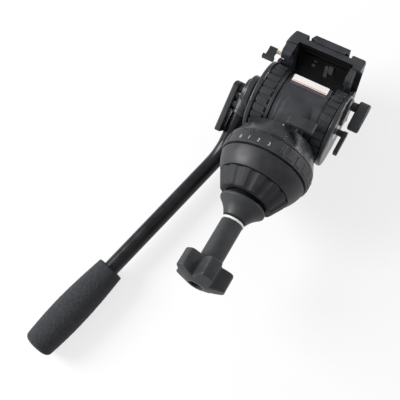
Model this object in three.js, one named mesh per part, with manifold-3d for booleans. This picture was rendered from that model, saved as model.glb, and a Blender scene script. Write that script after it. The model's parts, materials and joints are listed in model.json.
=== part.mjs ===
// Video fluid head for a 100 mm tripod bowl, modelled piece by piece.
// Millimetres, +Z up the pan axis. The origin is on the pan axis, in the plane of the
// half ball's shoulder. X is the tilt axis, and the dial numbers face -Y.

import * as THREE from 'three';
import { mergeVertices } from 'three/addons/utils/BufferGeometryUtils.js';
import Module from 'manifold-3d';

const wasm = await Module();
wasm.setup();

// Clearances and cutting allowance
const seatGap = 0.3;
const turnGap = 0.6;
const cutOverrun = 3;
const edgeRound = 1.2;

// Half ball that drops into the tripod bowl
const ballSphereRadius = 49.6;
const ballShoulderInset = 0.8;
const ballShoulderRadius = ballSphereRadius - ballShoulderInset;
const ballDepth = 20.8;
const ballNeckInset = 2.2;
const ballNeckRadius = ballShoulderRadius - ballNeckInset;
const ballNeckHeight = 1.6;
const ballWall = 5;
const ballFloor = 6;

// Tie-down under the ball: stud, flanged clamp cup, washer, cone nut, sleeve and star knob
const studRadius = 6;
const studTopZ = 3.5;
const studBottomZ = -127;
const studHoleRadius = 6.5;
const clampTopRadius = 39.3;
const clampBottomRadius = 30.6;
const clampHeight = 18.4;
const clampFluteRadius = 9;
const clampFluteDepth = 1.5;
const clampRecessRadius = 23;
const clampRecessDepth = 6;
const clampFluteCount = 14;
const washerRadius = 24.6;
const washerHeight = 4.6;
const coneRimRadius = 25.6;
const coneRimHeight = 2.6;
const coneNeckRadius = 12.9;
const coneHeight = 19.1;
const coneHollow = 1.6;
const nutRadius = 9;
const nutHeight = 14;
const sealHeight = 1.7;
const sealRadius = 12.2;
const nylonHeight = 2.2;
const nylonRadius = 12.6;
const sleeveRadius = 12;
const sleeveBoreRadius = 7.2;
const sleeveLength = 46;
const knobHubRadius = 14.5;
const knobHubStep = 2;
const knobLobeRadius = 28.6;
const knobValleyRadius = 17;
const knobLobeHeight = 20.5;
const knobNoseRadius = 10.5;
const knobNoseHeight = 6.2;
const knobBoreRadius = 7.6;
const knobTurnDeg = -68;
const knobLobeCount = 5;
const knobLobeSwellShare = 1.35;

// Pan base: spindle, friction rotor, dial ring and cone cover
const spindleRadius = 10;
const spindleTopZ = 52;
const spindleFlangeRadius = 27;
const spindleFlangeHeight = 7;
const rotorHeight = 8;
const rotorZ = 14;
const cupWall = 5;
const cupDepth = 25;
const cupTopThickness = 5;
const dialProud = 0.4;
const dialRadius = ballSphereRadius + dialProud;
const dialWall = 6;
const dialBoreRadius = dialRadius - dialWall;
const dialHeight = 15.4;
const dialPadProud = 0.8;
const dialPadHeight = 11.4;
const dialPadWidth = 8.2;
const dialPadCount = 22;
const dialFirstPadDeg = -74;
const dialPadPitchDeg = 13.2;
const coverBaseInset = 0.4;
const coverBaseRadius = dialRadius - coverBaseInset;
const coverTopRadius = 40.6;
const coverHeight = 23.4;
const coverEdge = 1.6;
const coverWall = 4.4;
const coverTopThickness = 5.6;
const coverSkirtWall = 5;
const cupClearance = 2;
const cupRadius = dialBoreRadius - coverSkirtWall - cupClearance;
const rotorClearance = 2;
const rotorRadius = cupRadius - cupWall - rotorClearance;
const coverHoleRadius = 13;
const bossTopWidth = 19;
const bossBottomWidth = 15;
const bossCentreX = 1.5;
const bossProud = 1.7;
const bossFoot = 0.8;

// Housing around the tilt axis
const tiltAxisZ = 81;
const drumRadius = 38.5;
const drumLeftX = -22;
const drumRightX = 29.2;
const drumLeftWidth = 5;
const drumRightWidth = 3.2;
const faceHalfDepth = 39;
const faceTopZ = 101;
const crownRadius = 32;
const faceRound = 0.8;
const columnLeftX = -12.5;
const columnRightX = 16.5;
const columnTopZ = 78;
const columnHalfDepth = 38.7;
const columnFootHalfDepth = 36.4;
const columnRound = 5;
const neckCoreRadius = 21.5;
const neckCoreTopZ = 56;
const hubRadius = 24;
const leftHubEndX = -40.6;
const rightHubEndX = 41.4;
const shaftRadius = 9;
const panBoreRadius = 17;
const panBoreTopZ = 52.6;
const bearingHeight = 7;
const spindleNutHeight = 3.4;
const spindleNutRadius = 14.5;
const leftChamberX = -16;
const leftChamberWidth = 15;
const rightChamberX = 6;
const rightChamberWidth = 18;
const chamberRadius = 28;
const tiltRotorRadius = 26;
const tiltRotorWidth = 8;
const springWidth = 12;
const springRadius = 25;

// Label strip on the housing face
const labelWidth = 40.4;
const labelHeight = 8.6;
const labelThickness = 0.8;
const labelCentreX = 4;

// Drag ring, balance ring and bearing flange around the tilt axis
const flangeRadius = 40;
const flangeWidth = 3.3;
const lugOuterRadius = 41.2;
const lugRootRadius = 39.4;
const lugCount = 28;
const lugGapShare = 0.16;
const lugFlankShare = 0.2;
const dragRingWidth = 14.2;
const dragRingCollarWidth = 1.6;
const balanceRingWidth = 11.7;

// Side arms, one to each side of the rings
const armThickness = 5.7;
const armDiscRadius = 41.6;
const armStalkHalfDepth = 16.6;
const armStalkRound = 5;
const armTopZ = 127.4;
const armLegBottomZ = 112.4;
const armLegDepth = 12;
const armShelfThickness = 4.4;
const armLegRound = 4.6;
const armStapleInset = 1.1;
const leftArmInnerReach = 11.9;
const rightArmInnerReach = 8;

// Platform that carries the sliding camera plate
const platformOverhang = 1;
const platformHalfDepth = dialRadius + platformOverhang;
const armTopInset = 1;
const armTopHalfDepth = platformHalfDepth - armTopInset;
const platformLeftX = -41.6;
const platformRightX = 47;
const platformCornerRound = 5;
const platformFloorZ = 131.2;
const channelFloorZ = 138.2;
const railTopZ = 143.6;
const leftRailInnerX = -21.7;
const rightRailInnerX = 29.7;
const leftRailTopX = -36;
const rightRailTopX = 44;
const rightRailTopZ = 142.4;
const rightRailRound = 2.4;
const railUndercut = 2.2;
const pocketDepth = 3.4;
const pocketWall = 6;
const pocketRibWidth = 2.6;
const pocketRibPitch = 7;
const pocketRibCount = 2;
const footLeftX = -29;
const footRightX = 35.4;

// Sliding camera plate
const plateLeftX = -18.4;
const plateRightX = 26;
const plateHalfLength = 52.5;
const plateTopZ = 146.4;
const plateUndersideZ = 140.4;
const plateBevel = 3.2;
const plateFootInset = 4.6;
const plateSlotWidth = 10.4;
const plateSlotLength = 62;
const plateSlotLedge = 2.6;
const plateSlotHeadWidth = 17;
const padThickness = 1;
const padWidth = 10;
const padInset = 3.4;
const screwRadius = 4.76;
const screwHeadRadius = 7.8;
const screwHeadHeight = 2.6;
const screwStandOut = 9;
const screwWasherHeight = 1.2;
const screwY = 10;
const pinRadius = 2.2;
const pinY = -12;
const pinStandOut = 4.5;
const pinTravel = 4;

// Plate lock lever on the platform's left side
const lockPivotY = -18;
const lockPivotZ = 131.2;
const lockSpindleRadius = 2.2;
const lockSpindleEndX = -57;
const lockSpindleDepth = 8;
const lockBarrelRadius = 3.8;
const lockBarrelX = -52;
const lockBarrelLength = 9;
const lockBladeLeftX = -64;
const lockBladeRightX = -50;
const lockBladeDepth = 5.2;
const lockBladeThickness = 3.5;
const lockBladeDrop = 13.2;

// Handle: rosette on the arm, clamp, bent tube and foam grip
const rosetteRadius = 18;
const rosetteThickness = 4.6;
const clampDiscRadius = 20;
const clampDiscThickness = 8.6;
const clampStepRadius = 14.5;
const clampStepThickness = 4;
const clampStartX = -51.5;
const socketRadius = 11;
const socketStart = 7.6;
const socketEnd = 27;
const boltRadius = 4;
const tubeAxisX = -58;
const tubeRadius = 9.3;
const tubeStart = 19.4;
const tubeFlareDeg = 3;
const handleSwingDeg = 43.9;
const tubeBendDistance = 78.9;
const tubeBendRadius = 55;
const gripOutwardDeg = 14.64;
const gripBackwardDeg = 10.64;
const gripStart = 184;
const gripLength = 118;
const gripInnerRadius = 16;
const gripMiddleRadius = 19.6;
const gripOuterRadius = 17.6;
const gripEndRound = 6;
const gripEndWall = 4;
const gripMiddleShare = 0.58;
const gripCapFromDeg = 15;

// Wing lever that clamps the handle
const wingStartX = -64.4;
const wingHubRadius = 6.7;
const wingHubLength = 13;
const wingLength = 50.5;
const wingWidth = 13;
const wingThickness = 6.6;
const wingEndInset = 0.4;
const wingSwingDeg = 36;
const wingTipShare = 0.86;

// Tilt lock lever on the right arm
const tiltLockY = -22;
const tiltLockZ = 104;
const tiltLockBossRadius = 16;
const tiltLockBossThickness = 2.9;
const tiltLockBossY = -14;
const tiltLockBossZ = 99;
const tiltLockStemRadius = 5;
const tiltLockStemEndX = 57;
const tiltLockBarRise = 9;
const tiltLockBarDrop = 28.5;
const tiltLockBarWidth = 13;
const tiltLockBarThickness = 12.4;

// Thin balance lever on the right end of the tilt axis
const balanceHubRadius = 3.2;
const balanceHubWidth = 7.6;
const balanceBarWidth = 8;
const balanceBarThickness = 4.2;
const balanceBarLength = 26;

// Pan lock lever on the front of the neck
const panLockX = 7.4;
const panLockZ = 45.4;
const panLockHubRadius = 5;
const panLockTabStart = -5;
const panLockTabLength = 24.8;
const panLockTabHeight = 13;
const panLockTabThickness = 4.9;
const panLockTabRound = 3.6;
const panLockFaceY = -42.5;
const panLockStemRadius = 4;
const panLockStemDepth = 9;

// Facet counts
const roundSides = 44;
const middleSides = 28;
const smallSides = 16;
const tubeSides = 20;
const hexSides = 6;
const cornerSteps = 4;
const endSteps = 8;
const tipSteps = 6;
const bellySteps = 20;
const armDiscSteps = 36;
const ballSteps = 6;
const coneSteps = 5;
const lobeSteps = 12;
const gripSteps = 4;
const bendSteps = 10;
const weldTolerance = 1e-4;

const fullTurn = 2 * Math.PI;
const blackPaint = { color: 0x1b1c1e, roughness: 0.42, metalness: 0.35 };
const blackPlastic = { color: 0x17181a, roughness: 0.6, metalness: 0 };
const rubber = { color: 0x101011, roughness: 0.9, metalness: 0 };
const foam = { color: 0x141416, roughness: 1, metalness: 0 };
const steel = { color: 0x9a9ca0, roughness: 0.35, metalness: 1 };
const brass = { color: 0xb08a4a, roughness: 0.4, metalness: 1 };
const whiteNylon = { color: 0xeeeeea, roughness: 0.5, metalness: 0 };
const labelFilm = { color: 0xe9e7e1, roughness: 0.5, metalness: 0 };

const head = new THREE.Group();

function addPiece(name, geometry, look, parent = head) {
  const mesh = new THREE.Mesh(geometry, new THREE.MeshStandardMaterial(look));
  mesh.name = name;
  parent.add(mesh);
  return mesh;
}

// Closed geometry with shared corners, no collapsed faces, and faces pointing out.
function weld(geometry) {
  const bare = geometry.clone();
  bare.deleteAttribute('normal');
  bare.deleteAttribute('uv');
  const merged = mergeVertices(bare, weldTolerance);
  const corner = (i) => new THREE.Vector3().fromBufferAttribute(merged.attributes.position, i);
  const faces = [];
  let volume = 0;
  for (let i = 0; i < merged.index.count; i += 3) {
    const [a, b, c] = [0, 1, 2].map((k) => merged.index.getX(i + k));
    if (a === b || b === c || a === c) continue;
    faces.push([a, b, c]);
    volume += corner(a).dot(corner(b).cross(corner(c)));
  }
  merged.setIndex(faces.flatMap(([a, b, c]) => (volume < 0 ? [a, c, b] : [a, b, c])));
  return merged;
}

function solidOf(geometry) {
  const welded = weld(geometry);
  const vertProperties = new Float32Array(welded.attributes.position.array);
  const triVerts = new Uint32Array(welded.index.array);
  return new wasm.Manifold(new wasm.Mesh({ numProp: 3, vertProperties, triVerts }));
}

function geometryOf(solid) {
  const mesh = solid.getMesh();
  const geometry = new THREE.BufferGeometry();
  geometry.setAttribute('position', new THREE.BufferAttribute(mesh.vertProperties, 3));
  geometry.setIndex(Array.from(mesh.triVerts));
  return geometry;
}

function join(...geometries) {
  return geometryOf(geometries.map(solidOf).reduce((whole, next) => whole.add(next)));
}

function cut(geometry, ...tools) {
  return geometryOf(tools.map(solidOf).reduce((whole, tool) => whole.subtract(tool), solidOf(geometry)));
}

function common(geometry, other) {
  return geometryOf(solidOf(geometry).intersect(solidOf(other)));
}

// Points of a circular arc in a profile plane, angles in degrees.
function arc(centreU, centreV, radius, fromDeg, toDeg, steps) {
  return Array.from({ length: steps + 1 }, (_, i) => {
    const angle = THREE.MathUtils.degToRad(fromDeg + ((toDeg - fromDeg) * i) / steps);
    return [centreU + radius * Math.cos(angle), centreV + radius * Math.sin(angle)];
  });
}

// Body of revolution about Z from a closed list of [radius, height].
function turned(profile, sides = roundSides) {
  const points = profile.concat([profile[0]]).map(([r, z]) => new THREE.Vector2(r, z));
  return weld(new THREE.LatheGeometry(points, sides).rotateX(Math.PI / 2));
}

function ring(innerRadius, outerRadius, lowZ, highZ, sides = roundSides) {
  const profile = [
    [innerRadius, lowZ],
    [outerRadius, lowZ],
    [outerRadius, highZ],
    [innerRadius, highZ],
  ];
  return turned(profile, sides);
}

function rod(radius, lowZ, highZ, sides = smallSides) {
  return turned([[0, lowZ], [radius, lowZ], [radius, highZ], [0, highZ]], sides);
}

// Turns a body made along Z so that its axis lies along X.
function alongX(geometry) {
  const axes = [[0, 1, 0], [0, 0, 1], [1, 0, 0]].map((v) => new THREE.Vector3(...v));
  return geometry.applyMatrix4(new THREE.Matrix4().makeBasis(...axes));
}

function shapeOf(points) {
  return new THREE.Shape(points.map(([u, v]) => new THREE.Vector2(u, v)));
}

// Prism whose outline lies in the XY plane, from one height to another.
function prism(points, lowZ, highZ) {
  const settings = { depth: highZ - lowZ, bevelEnabled: false };
  return weld(new THREE.ExtrudeGeometry(shapeOf(points), settings)).translate(0, 0, lowZ);
}

// Rounded rectangle in the XY plane, as a list of outline points.
function roundedRectangle(lowX, highX, lowY, highY, round) {
  return [
    ...arc(highX - round, highY - round, round, 0, 90, cornerSteps),
    ...arc(lowX + round, highY - round, round, 90, 180, cornerSteps),
    ...arc(lowX + round, lowY + round, round, 180, 270, cornerSteps),
    ...arc(highX - round, lowY + round, round, 270, 360, cornerSteps),
  ];
}

// Prism whose outline lies in the YZ plane, from one X to another.
function prismX(points, lowX, highX) {
  return alongX(prism(points, 0, highX - lowX)).translate(lowX, 0, 0);
}

// Prism whose outline lies in the XZ plane, from one Y to another.
function prismY(points, lowY, highY) {
  return prism(points, 0, highY - lowY).rotateX(Math.PI / 2).translate(0, highY, 0);
}

// Prism with a chamfer of the given size along both end outlines.
function softPrism(points, depth, chamfer) {
  const settings = { depth: depth - 2 * chamfer, bevelThickness: chamfer, bevelSize: chamfer };
  settings.bevelOffset = -chamfer;
  settings.bevelSegments = 1;
  return weld(new THREE.ExtrudeGeometry(shapeOf(points), settings)).translate(0, 0, chamfer);
}

function block(lowX, highX, lowY, highY, lowZ, highZ) {
  const box = new THREE.BoxGeometry(highX - lowX, highY - lowY, highZ - lowZ);
  return box.translate((lowX + highX) / 2, (lowY + highY) / 2, (lowZ + highZ) / 2);
}

// Heights that follow from the stack on the pan axis
const ballBottomZ = -ballDepth;
const ballFloorZ = ballBottomZ + ballFloor;
const ballTopZ = -turnGap / 2;
const ballCentreZ = Math.sqrt(ballSphereRadius ** 2 - ballShoulderRadius ** 2);
const clampTopZ = ballBottomZ - seatGap;
const clampBottomZ = clampTopZ - clampHeight;
const washerTopZ = clampBottomZ - seatGap;
const coneTopZ = washerTopZ - washerHeight - seatGap;
const coneBottomZ = coneTopZ - coneHeight;
const sealTopZ = coneBottomZ - seatGap;
const nylonTopZ = sealTopZ - sealHeight - seatGap;
const sleeveTopZ = nylonTopZ - nylonHeight - seatGap;
const sleeveBottomZ = sleeveTopZ - sleeveLength;
const knobTopZ = sleeveBottomZ - seatGap;
const dialBottomZ = turnGap / 2;
const dialTopZ = dialBottomZ + dialHeight;
const coverBaseZ = dialTopZ + seatGap;
const coverTopZ = coverBaseZ + coverHeight;
const housingBottomZ = coverTopZ + seatGap;

function sphereRadiusAt(z, shell) {
  return Math.sqrt((ballSphereRadius - shell) ** 2 - (z - ballCentreZ) ** 2);
}

function halfBall() {
  const shoulderZ = ballTopZ - ballNeckHeight;
  const outside = Array.from({ length: ballSteps + 1 }, (_, i) => {
    const z = shoulderZ + ((ballBottomZ - shoulderZ) * i) / ballSteps;
    return [sphereRadiusAt(z, 0), z];
  });
  const inside = [ballFloorZ, (ballFloorZ + ballTopZ) / 2, ballTopZ].map((z) => [
    sphereRadiusAt(z, ballWall),
    z,
  ]);
  return turned([
    ...inside,
    [ballNeckRadius, ballTopZ],
    [ballNeckRadius, shoulderZ],
    ...outside,
    [studHoleRadius, ballBottomZ],
    [studHoleRadius, ballFloorZ],
  ]);
}

function clampCup() {
  const body = turned([
    [studHoleRadius, clampTopZ],
    [studHoleRadius, clampBottomZ + clampRecessDepth],
    [clampRecessRadius, clampBottomZ + clampRecessDepth],
    [clampRecessRadius, clampBottomZ],
    [clampBottomRadius - edgeRound, clampBottomZ],
    [clampBottomRadius, clampBottomZ + edgeRound],
    [clampTopRadius, clampTopZ - edgeRound],
    [clampTopRadius - edgeRound, clampTopZ],
  ]);
  const lean = Math.atan2(clampTopRadius - clampBottomRadius, clampHeight);
  const flutes = Array.from({ length: clampFluteCount }, (_, i) => {
    const length = clampHeight + 2 * cutOverrun;
    const flute = rod(clampFluteRadius, -length / 2, length / 2, smallSides).rotateY(lean);
    const middleRadius = (clampTopRadius + clampBottomRadius) / 2 + clampFluteRadius - clampFluteDepth;
    const middleZ = (clampTopZ + clampBottomZ) / 2 - edgeRound;
    const turn = (fullTurn * (2 * i + 1)) / (2 * clampFluteCount);
    return flute.translate(middleRadius, 0, middleZ).rotateZ(turn);
  });
  return cut(body, ...flutes);
}

function coneNut() {
  const rimZ = coneTopZ - coneRimHeight;
  const taper = Array.from({ length: coneSteps + 1 }, (_, i) => {
    const t = i / coneSteps;
    const bow = coneHollow * Math.sin(Math.PI * t);
    return [coneRimRadius + (coneNeckRadius - coneRimRadius) * t - bow, rimZ + (coneBottomZ - rimZ) * t];
  });
  const nutSeatZ = coneTopZ - edgeRound - nutHeight - seatGap;
  return turned([
    [nutRadius + seatGap, coneTopZ],
    [coneRimRadius - edgeRound, coneTopZ],
    [coneRimRadius, coneTopZ - edgeRound],
    ...taper,
    [studHoleRadius, coneBottomZ],
    [studHoleRadius, nutSeatZ],
    [nutRadius + seatGap, nutSeatZ],
  ], middleSides);
}

function starKnob() {
  const lobeTopZ = knobTopZ - knobHubStep;
  const lobeBottomZ = lobeTopZ - knobLobeHeight;
  const noseZ = lobeBottomZ - knobNoseHeight;
  const outline = Array.from({ length: knobLobeCount * lobeSteps }, (_, i) => {
    const angle = (fullTurn * i) / (knobLobeCount * lobeSteps);
    const swell = Math.min(1, (knobLobeSwellShare * (1 + Math.cos(knobLobeCount * angle))) / 2);
    const radius = knobValleyRadius + (knobLobeRadius - knobValleyRadius) * swell;
    return [radius * Math.cos(angle), radius * Math.sin(angle)];
  });
  const star = softPrism(outline, lobeTopZ - noseZ, edgeRound).translate(0, 0, noseZ);
  const envelope = turned([
    [0, noseZ],
    [knobNoseRadius, noseZ],
    [knobLobeRadius - edgeRound, lobeBottomZ],
    [knobLobeRadius, lobeBottomZ + edgeRound],
    [knobLobeRadius, lobeTopZ + edgeRound],
    [0, lobeTopZ + edgeRound],
  ]);
  const hub = rod(knobHubRadius, lobeTopZ - edgeRound, knobTopZ, middleSides);
  const bore = rod(knobBoreRadius, noseZ - cutOverrun, knobTopZ + cutOverrun, smallSides);
  const knob = cut(join(common(star, envelope), hub), bore);
  return knob.rotateZ(THREE.MathUtils.degToRad(knobTurnDeg));
}

function spindle() {
  const flangeBottomZ = ballFloorZ + seatGap;
  const flangeTopZ = flangeBottomZ + spindleFlangeHeight;
  return turned([
    [studRadius + seatGap, flangeBottomZ],
    [spindleFlangeRadius, flangeBottomZ],
    [spindleFlangeRadius, flangeTopZ - edgeRound],
    [spindleFlangeRadius - edgeRound, flangeTopZ],
    [spindleRadius + 2 * edgeRound, flangeTopZ],
    [spindleRadius + 2 * edgeRound, rotorZ - seatGap],
    [spindleRadius, rotorZ - seatGap],
    [spindleRadius, spindleTopZ],
    [0, spindleTopZ],
    [0, studTopZ + seatGap],
    [studRadius + seatGap, studTopZ + seatGap],
  ], smallSides);
}

function dialRing() {
  const base = turned([
    [dialBoreRadius, dialBottomZ],
    [dialRadius - edgeRound / 2, dialBottomZ],
    [dialRadius, dialBottomZ + edgeRound / 2],
    [dialRadius, dialTopZ - edgeRound / 2],
    [dialRadius - edgeRound / 2, dialTopZ],
    [dialBoreRadius, dialTopZ],
  ]);
  const lowZ = dialBottomZ + (dialHeight - dialPadHeight) / 2;
  const pads = Array.from({ length: dialPadCount }, (_, i) => {
    const outline = [
      [dialRadius - cutOverrun / 2, -dialPadWidth / 2],
      [dialRadius, -dialPadWidth / 2],
      [dialRadius + dialPadProud, -dialPadWidth / 2 + dialPadProud],
      [dialRadius + dialPadProud, dialPadWidth / 2 - dialPadProud],
      [dialRadius, dialPadWidth / 2],
      [dialRadius - cutOverrun / 2, dialPadWidth / 2],
    ];
    const turn = THREE.MathUtils.degToRad(dialFirstPadDeg + dialPadPitchDeg * i);
    return prism(outline, lowZ, lowZ + dialPadHeight).rotateZ(turn);
  });
  return join(base, ...pads);
}

function coneCover() {
  const skirtZ = turnGap;
  const skirtRadius = dialBoreRadius - seatGap;
  const plateBottomZ = coverTopZ - coverTopThickness;
  const bandTopZ = coverBaseZ + coverEdge;
  const shell = turned([
    [coverHoleRadius, plateBottomZ],
    [coverTopRadius - coverWall, plateBottomZ],
    [skirtRadius - coverSkirtWall, coverBaseZ],
    [skirtRadius - coverSkirtWall, skirtZ],
    [skirtRadius, skirtZ],
    [skirtRadius, coverBaseZ],
    [coverBaseRadius, coverBaseZ],
    [coverBaseRadius, bandTopZ],
    [coverTopRadius + edgeRound / 4, coverTopZ - edgeRound],
    [coverTopRadius - edgeRound, coverTopZ],
    [coverHoleRadius, coverTopZ],
  ]);
  const slope = (coverBaseRadius - coverTopRadius) / (coverTopZ - edgeRound - bandTopZ);
  const bossEnvelope = turned([
    [0, coverBaseZ + bossFoot],
    [coverBaseRadius + bossProud - slope * bossFoot, coverBaseZ + bossFoot],
    [coverTopRadius + bossProud, coverTopZ - edgeRound],
    [coverTopRadius + bossProud - edgeRound, coverTopZ],
    [0, coverTopZ],
  ]);
  const bossOutline = [
    [bossCentreX + bossTopWidth / 2 - bossBottomWidth, coverBaseZ],
    [bossCentreX + bossTopWidth / 2, coverBaseZ],
    [bossCentreX + bossTopWidth / 2, coverTopZ],
    [bossCentreX - bossTopWidth / 2, coverTopZ],
  ];
  const bossBlock = prismY(bossOutline, -coverBaseRadius - 2 * bossProud, -coverTopRadius + coverWall / 2);
  return join(shell, common(bossEnvelope, bossBlock));
}

// Side outline of the housing between the rings: a round belly below the tilt axis,
// upright front and back above it, and an arched crown.
function faceOutline() {
  const shoulderY = faceHalfDepth - faceRound;
  const rise = faceTopZ - tiltAxisZ;
  const tangent = Math.atan2(rise, shoulderY) + Math.acos(crownRadius / Math.hypot(rise, shoulderY));
  const crownDeg = THREE.MathUtils.radToDeg(tangent);
  const crown = arc(0, tiltAxisZ, crownRadius, crownDeg, 180 - crownDeg, endSteps);
  return [
    ...arc(0, tiltAxisZ, faceHalfDepth, -180, 0, bellySteps),
    ...arc(shoulderY, faceTopZ - faceRound, faceRound, 0, 90, 3),
    ...crown,
    ...arc(-shoulderY, faceTopZ - faceRound, faceRound, 90, 180, 3),
  ];
}

// Column that carries the housing on the cone cover: rounded upright edges, and a front
// and back that draw in towards the foot.
function column() {
  const outline = [
    [columnHalfDepth, columnTopZ],
    [-columnHalfDepth, columnTopZ],
    [-columnFootHalfDepth, housingBottomZ],
    [columnFootHalfDepth, housingBottomZ],
  ];
  const plan = roundedRectangle(columnLeftX, columnRightX, -columnHalfDepth, columnHalfDepth, columnRound);
  const post = prism(plan, housingBottomZ, columnTopZ);
  return common(post, prismX(outline, columnLeftX - cutOverrun, columnRightX + cutOverrun));
}

function housing() {
  const faceX = [drumLeftX + drumLeftWidth, drumRightX - drumRightWidth / 2];
  const face = prismX(faceOutline(), ...faceX);
  const disc = (lowX, highX) => alongX(rod(drumRadius, lowX, highX, roundSides)).translate(0, 0, tiltAxisZ);
  const leftDrum = disc(drumLeftX, drumLeftX + drumLeftWidth + edgeRound);
  const rightDrum = disc(drumRightX - drumRightWidth, drumRightX);
  const hub = alongX(rod(hubRadius, leftHubEndX, rightHubEndX, middleSides)).translate(0, 0, tiltAxisZ);
  const shaftBore = alongX(
    rod(shaftRadius + seatGap, leftHubEndX - cutOverrun, rightHubEndX + cutOverrun, smallSides),
  ).translate(0, 0, tiltAxisZ);
  const neckCore = rod(neckCoreRadius, housingBottomZ, neckCoreTopZ, middleSides);
  const panBore = rod(panBoreRadius, housingBottomZ - cutOverrun, panBoreTopZ, middleSides);
  const chamber = (lowX, width) =>
    alongX(rod(chamberRadius, lowX, lowX + width, middleSides)).translate(0, 0, tiltAxisZ);
  const lockBoreStart = columnHalfDepth - panLockStemDepth;
  const lockBore = rod(panLockStemRadius + seatGap, lockBoreStart, faceHalfDepth + cutOverrun)
    .rotateX(Math.PI / 2).translate(panLockX, 0, panLockZ);
  return cut(
    join(face, leftDrum, rightDrum, hub, column(), neckCore),
    shaftBore,
    panBore,
    lockBore,
    chamber(leftChamberX, leftChamberWidth),
    chamber(rightChamberX, rightChamberWidth),
  );
}

// Ring about X whose rim carries square grip lugs.
function luggedRing(lowX, width, collarWidth) {
  const rim = [];
  const pitchDeg = 360 / lugCount;
  const gapDeg = pitchDeg * lugGapShare;
  for (let i = 0; i < lugCount; i += 1) {
    const start = i * pitchDeg;
    rim.push(...arc(0, 0, lugRootRadius, start, start + gapDeg, 1));
    const flankDeg = gapDeg * lugFlankShare;
    const lugStart = start + gapDeg + flankDeg;
    rim.push(...arc(0, 0, lugOuterRadius, lugStart, start + pitchDeg - flankDeg, 2));
  }
  const lugs = prism(rim, 0, width - collarWidth);
  const collar = rod(lugRootRadius, -cutOverrun / 2, width, roundSides);
  const whole = join(lugs, collar);
  const trimmed = common(whole, rod(lugOuterRadius + cutOverrun, 0, width, middleSides));
  const bored = cut(trimmed, rod(hubRadius + seatGap, -cutOverrun, width + cutOverrun, middleSides));
  return weld(alongX(bored)).translate(lowX, 0, tiltAxisZ);
}

// Outline of an arm in the YZ plane: disc round the tilt axis and an upright stalk.
function armOutline() {
  const stalkFoot = armStalkHalfDepth + armStalkRound;
  const reach = armDiscRadius + armStalkRound;
  const footRise = Math.sqrt(reach ** 2 - stalkFoot ** 2);
  const footDeg = THREE.MathUtils.radToDeg(Math.atan2(footRise, stalkFoot));
  const footZ = tiltAxisZ + footRise;
  return [
    ...arc(0, tiltAxisZ, armDiscRadius, footDeg, -180 - footDeg, armDiscSteps),
    ...arc(-stalkFoot, footZ, armStalkRound, -footDeg, 0, 3).slice(1),
    [-armStalkHalfDepth, armTopZ],
    [armStalkHalfDepth, armTopZ],
    ...arc(stalkFoot, footZ, armStalkRound, 180, 180 + footDeg, 3).slice(0, -1),
  ];
}

// Shelf under the platform with a leg at each end, just inside the arm plate.
function shelfOutline() {
  const shelfZ = armTopZ - armShelfThickness;
  const innerY = armTopHalfDepth - armLegDepth;
  const legFoot = (side) => {
    const low = arc(armTopHalfDepth - armLegRound, armLegBottomZ + armLegRound, armLegRound, 0, -90, 3);
    const outline = [...low, [innerY, armLegBottomZ], [innerY, shelfZ]];
    return outline.map(([y, z]) => [side * y, z]);
  };
  return [
    [armTopHalfDepth, armTopZ],
    ...legFoot(1),
    ...legFoot(-1).reverse(),
    [-armTopHalfDepth, armTopZ],
  ];
}

function arm(innerX, side, innerReach) {
  const outerX = innerX + side * armThickness;
  const plate = weld(alongX(softPrism(armOutline(), armThickness, edgeRound)))
    .translate(Math.min(innerX, outerX), 0, 0);
  const span = (fromX, toX) => [Math.min(fromX, toX), Math.max(fromX, toX)];
  const shelf = prismX(shelfOutline(), ...span(innerX - side * innerReach, innerX - side * armStapleInset));
  const bridge = block(
    ...span(innerX - side * armStapleInset * 2, innerX + side * 2 * edgeRound),
    -armStalkHalfDepth + edgeRound, armStalkHalfDepth - edgeRound,
    armTopZ - armShelfThickness, armTopZ,
  );
  const boreReach = armThickness + cutOverrun;
  const bore = alongX(rod(shaftRadius + seatGap, -boreReach, boreReach, smallSides))
    .translate(innerX, 0, tiltAxisZ);
  return cut(join(plate, shelf, bridge), bore);
}

function platform() {
  const outline = [
    [platformLeftX, armTopZ + seatGap],
    [footLeftX, armTopZ + seatGap],
    [footLeftX + edgeRound, platformFloorZ],
    [footRightX - edgeRound, platformFloorZ],
    [footRightX, armTopZ + seatGap],
    [platformRightX, armTopZ + seatGap],
    [rightRailTopX + edgeRound, rightRailTopZ - rightRailRound],
    [rightRailTopX, rightRailTopZ - edgeRound / 2],
    [rightRailTopX - edgeRound, rightRailTopZ],
    [rightRailInnerX, rightRailTopZ],
    [rightRailInnerX - railUndercut / 2, rightRailTopZ - railUndercut],
    [rightRailInnerX + railUndercut, channelFloorZ],
    [leftRailInnerX - railUndercut, channelFloorZ],
    [leftRailInnerX + railUndercut / 2, railTopZ - railUndercut],
    [leftRailInnerX, railTopZ],
    [leftRailTopX, railTopZ],
    [leftRailTopX - edgeRound, railTopZ - edgeRound],
  ];
  const plan = roundedRectangle(
    platformLeftX, platformRightX, -platformHalfDepth, platformHalfDepth, platformCornerRound,
  );
  const rounded = prism(plan, armTopZ - cutOverrun, railTopZ + cutOverrun);
  const body = common(prismY(outline, -platformHalfDepth, platformHalfDepth), rounded);
  const ribY = Array.from({ length: pocketRibCount }, (_, i) => {
    return platformHalfDepth - pocketWall - pocketRibWidth - i * pocketRibPitch;
  });
  const edges = [platformHalfDepth - pocketWall, ...ribY.flatMap((y) => [y, y - pocketRibWidth])];
  const limits = [...edges, ...edges.map((y) => -y).reverse()];
  const pockets = Array.from({ length: limits.length / 2 }, (_, i) => block(
    footLeftX + pocketWall, footRightX - pocketWall,
    limits[2 * i + 1], limits[2 * i],
    platformFloorZ - cutOverrun, platformFloorZ + pocketDepth,
  ));
  const holeRadius = lockSpindleRadius + seatGap;
  const spindleHole = alongX(rod(holeRadius, -cutOverrun, lockSpindleDepth + cutOverrun))
    .translate(platformLeftX + edgeRound, lockPivotY, lockPivotZ);
  return cut(body, ...pockets, spindleHole);
}

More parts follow.
